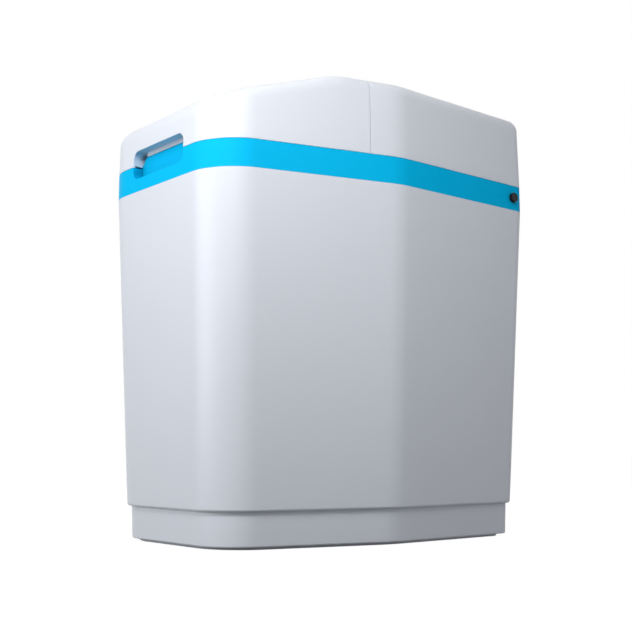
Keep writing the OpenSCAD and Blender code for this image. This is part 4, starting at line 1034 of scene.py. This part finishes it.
FINISHES = {
    "white_shell": finish("cool_white_plastic", srgb(235, 238, 243), 0.38, drift=0.012, relief=0.03),
    # The band's colour carries painted shade, darker in its pocket and other recesses.
    "blue_band": finish("cyan_plastic", srgb(4, 202, 255), 0.45, drift=0.015, relief=0.03, hollow=0.75,
                        specular_ior_level=0.04),
    "grey_base": finish("grey_plastic", srgb(196, 200, 207), 0.55, relief=0.15),
    "steel": finish("rolled_steel", srgb(196, 198, 202), 0.30, stretch=(1, 1, 12), metallic=1.0),
    "black_plastic": finish("black_plastic", srgb(15, 15, 18), 0.42, drift=0.12, relief=0.1,
                            specular_ior_level=0.2),
    "rubber_seal": finish("black_rubber", srgb(26, 26, 27), 0.75, drift=0.15, relief=0.25),
    "display_glass": finish("display_glass", srgb(18, 24, 31), 0.08, relief=0.0, coat_weight=0.6),
    "grey_button": finish("grey_button", srgb(150, 156, 164), 0.5, relief=0.1),
    "green_board": finish("green_board", srgb(22, 92, 48), 0.4, drift=0.2, grain=400.0),
    "tank_wrap": finish("wound_tank", srgb(62, 74, 90), 0.45, drift=0.15, grain=500.0, relief=0.3,
                        stretch=(1, 1, 4)),
    "resin": finish("resin_beads", srgb(186, 128, 48), 0.4, drift=0.3, grain=1200.0, relief=0.8),
    "natural_plastic": finish("natural_plastic", srgb(226, 226, 218), 0.42, drift=0.03, relief=0.08),
    "dark_valve": finish("dark_valve_plastic", srgb(54, 56, 60), 0.5, drift=0.1, relief=0.2),
    "red_handle": finish("red_handle_plastic", srgb(190, 32, 26), 0.4, drift=0.06, relief=0.08),
    "brass": finish("turned_brass", srgb(200, 160, 80), 0.28, stretch=(1, 14, 1), metallic=1.0),
    "clear_tube": finish("milky_tube", srgb(214, 220, 224), 0.3, drift=0.02, relief=0.02),
}


def paint(piece, slot):
    """Give a piece the finish of its slot and no other."""
    piece.data.materials.clear()
    piece.data.materials.append(FINISHES[slot])


for piece, slot in DRESSED:
    paint(piece, slot)
print("finishes:", len(FINISHES), "on", len(DRESSED), "dressed pieces")

# %% [markdown]
# ## Finishes of the construction's own pieces
# What is not modelled again, such as the tank and the parts inside the valve, keeps its exact shape
# and only gets its finish. A list of names per finish is enough for that, because nothing is added.

# %% Paint the carried-over nodes
CARRIED = {
    "steel": ["base_screws", "hinge_pin", "piston_rod", "drive_bracket", "motor_pinion", "injector_screws",
              "float_rod", "power_inlet_nut"],
    "black_plastic": ["overflow_nut", "tank_boot", "end_plug", "drive_motor", "injector_cap"],
    "rubber_seal": ["overflow_gasket", "neck_seal", "piston_seals"],
    "green_board": ["circuit_board"],
    "tank_wrap": ["resin_tank"],
    "resin": ["resin_bed"],
    "natural_plastic": ["riser_tube", "bottom_strainer", "top_strainer", "seal_spacers", "piston",
                        "drive_gear", "turbine_cage", "brine_well", "brine_valve", "brine_float"],
    "dark_valve": ["valve_body"],
    "blue_band": ["flow_turbine", "brine_well_cap"],
}
for slot, names in CARRIED.items():
    for name in names:
        paint(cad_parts[name], slot)
print("painted:", sum(len(names) for names in CARRIED.values()), "carried nodes")

# %% [markdown]
# ## Floor and backdrop
# The cabinet stands in a white studio. A bright world would wash it out, so floor and world are
# white only to the camera, to gloss and through glass, and the lamps do the lighting. The floor is a
# little darker around the cabinet, where its shadow lies, and runs out into plain white.

# %% Floor and world
FLOOR_SIZE, FLOOR_GREY, SHADE, NEAR, FAR = 40, 0.12, 0.06, 0.35, 0.9

begin("floor", bpy.ops.mesh.primitive_plane_add, size=FLOOR_SIZE)
floor = done()


def seen(wire):
    """One for rays from the camera, from gloss and through glass, and nought for the others."""
    rays = [wire.node("ShaderNodeLightPath", output=kind)
            for kind in ("Is Camera Ray", "Is Glossy Ray", "Is Transmission Ray")]
    return wire.node("ShaderNodeMath", {"operation": "ADD", "use_clamp": True},
                     {0: rays[0] + rays[1], 1: rays[2]})


white_floor = bpy.data.materials.new("white_floor")
white_floor.use_nodes = True
tree = white_floor.node_tree
tree.nodes.clear()
wire = Wire(tree)
place = wire.node("ShaderNodeTexCoord", output="Object")
reach = wire.node("ShaderNodeVectorMath", {"operation": "LENGTH"}, {0: place}, output="Value")
away = wire.node("ShaderNodeMapRange", inputs={"Value": reach, "From Min": NEAR, "From Max": FAR})
matt = wire.node("ShaderNodeBsdfDiffuse", inputs={"Color": (FLOOR_GREY, FLOOR_GREY, FLOOR_GREY, 1)})
glow = wire.node("ShaderNodeEmission", inputs={"Strength": seen(wire) * (1 - SHADE + away * SHADE)})
both = wire.node("ShaderNodeAddShader", inputs={0: matt, 1: glow})
wire.node("ShaderNodeOutputMaterial", inputs={"Surface": both})
floor.data.materials.append(white_floor)

world = bpy.data.worlds.new("white_studio")
scene.world = world
world.use_nodes = True
tree = world.node_tree
tree.nodes.clear()
wire = Wire(tree)
sky = wire.node("ShaderNodeBackground", inputs={"Color": (1, 1, 1, 1), "Strength": seen(wire)})
wire.node("ShaderNodeOutputWorld", inputs={"Surface": sky})
print("floor:", FLOOR_SIZE, "m wide, plain white from", FAR, "m on")

# %% [markdown]
# ## The lamps
# A large level box stands before the front. Two small boxes stand close and a little above the lid,
# one before the near corner and one beside it, and because they are close, the walls darken
# downwards. A weak cool one low on the right keeps that side from going flat. Three more serve what
# the camera doesn't see: one high behind, one on the left and a small one straight above. Those
# behind and on the left are hidden from gloss, or the panel would mirror them as white patches.

# %% Softboxes
AIM = Vector((0, 0, 0.3))
DAYLIGHT = (0.97, 0.98, 1.0)


def softbox(name, place, size, power, colour, mirrored=True):
    """An area lamp that looks at the cabinet. The camera doesn't see it, and gloss only if mirrored."""
    lamp = bpy.data.lights.new(name, "AREA")
    lamp.shape, lamp.size, lamp.size_y, lamp.energy, lamp.color = "RECTANGLE", size[0], size[1], power, colour
    stand = bpy.data.objects.new(name, lamp)
    scene.collection.objects.link(stand)
    stand.location = place
    stand.rotation_euler = (AIM - Vector(place)).to_track_quat("-Z", "Y").to_euler()
    stand.visible_camera, stand.visible_glossy = False, mirrored
    print(name, power, "W")


softbox("front_box", (-0.275, -1.560, 0.523), (1.0, 1.0), 10.8, (0.91, 0.95, 1.0))
softbox("corner_box", (0.470, -0.720, 0.800), (0.65, 0.30), 4.8, (0.95, 0.96, 1.0))
softbox("side_box", (0.918, -0.246, 0.800), (0.45, 0.30), 1.8, DAYLIGHT)
softbox("right_box", (1.530, 0.410, 0.300), (1.0, 1.0), 4.0, (0.86, 0.91, 1.0))
softbox("back_box", (-0.85, 1.40, 1.00), (1.2, 1.2), 20.0, DAYLIGHT, mirrored=False)
softbox("left_box", (-1.500, 0.150, 0.550), (1.0, 1.0), 5.0, DAYLIGHT, mirrored=False)
softbox("top_box", (0.0, 0.15, 1.30), (0.3, 0.3), 0.5, DAYLIGHT)
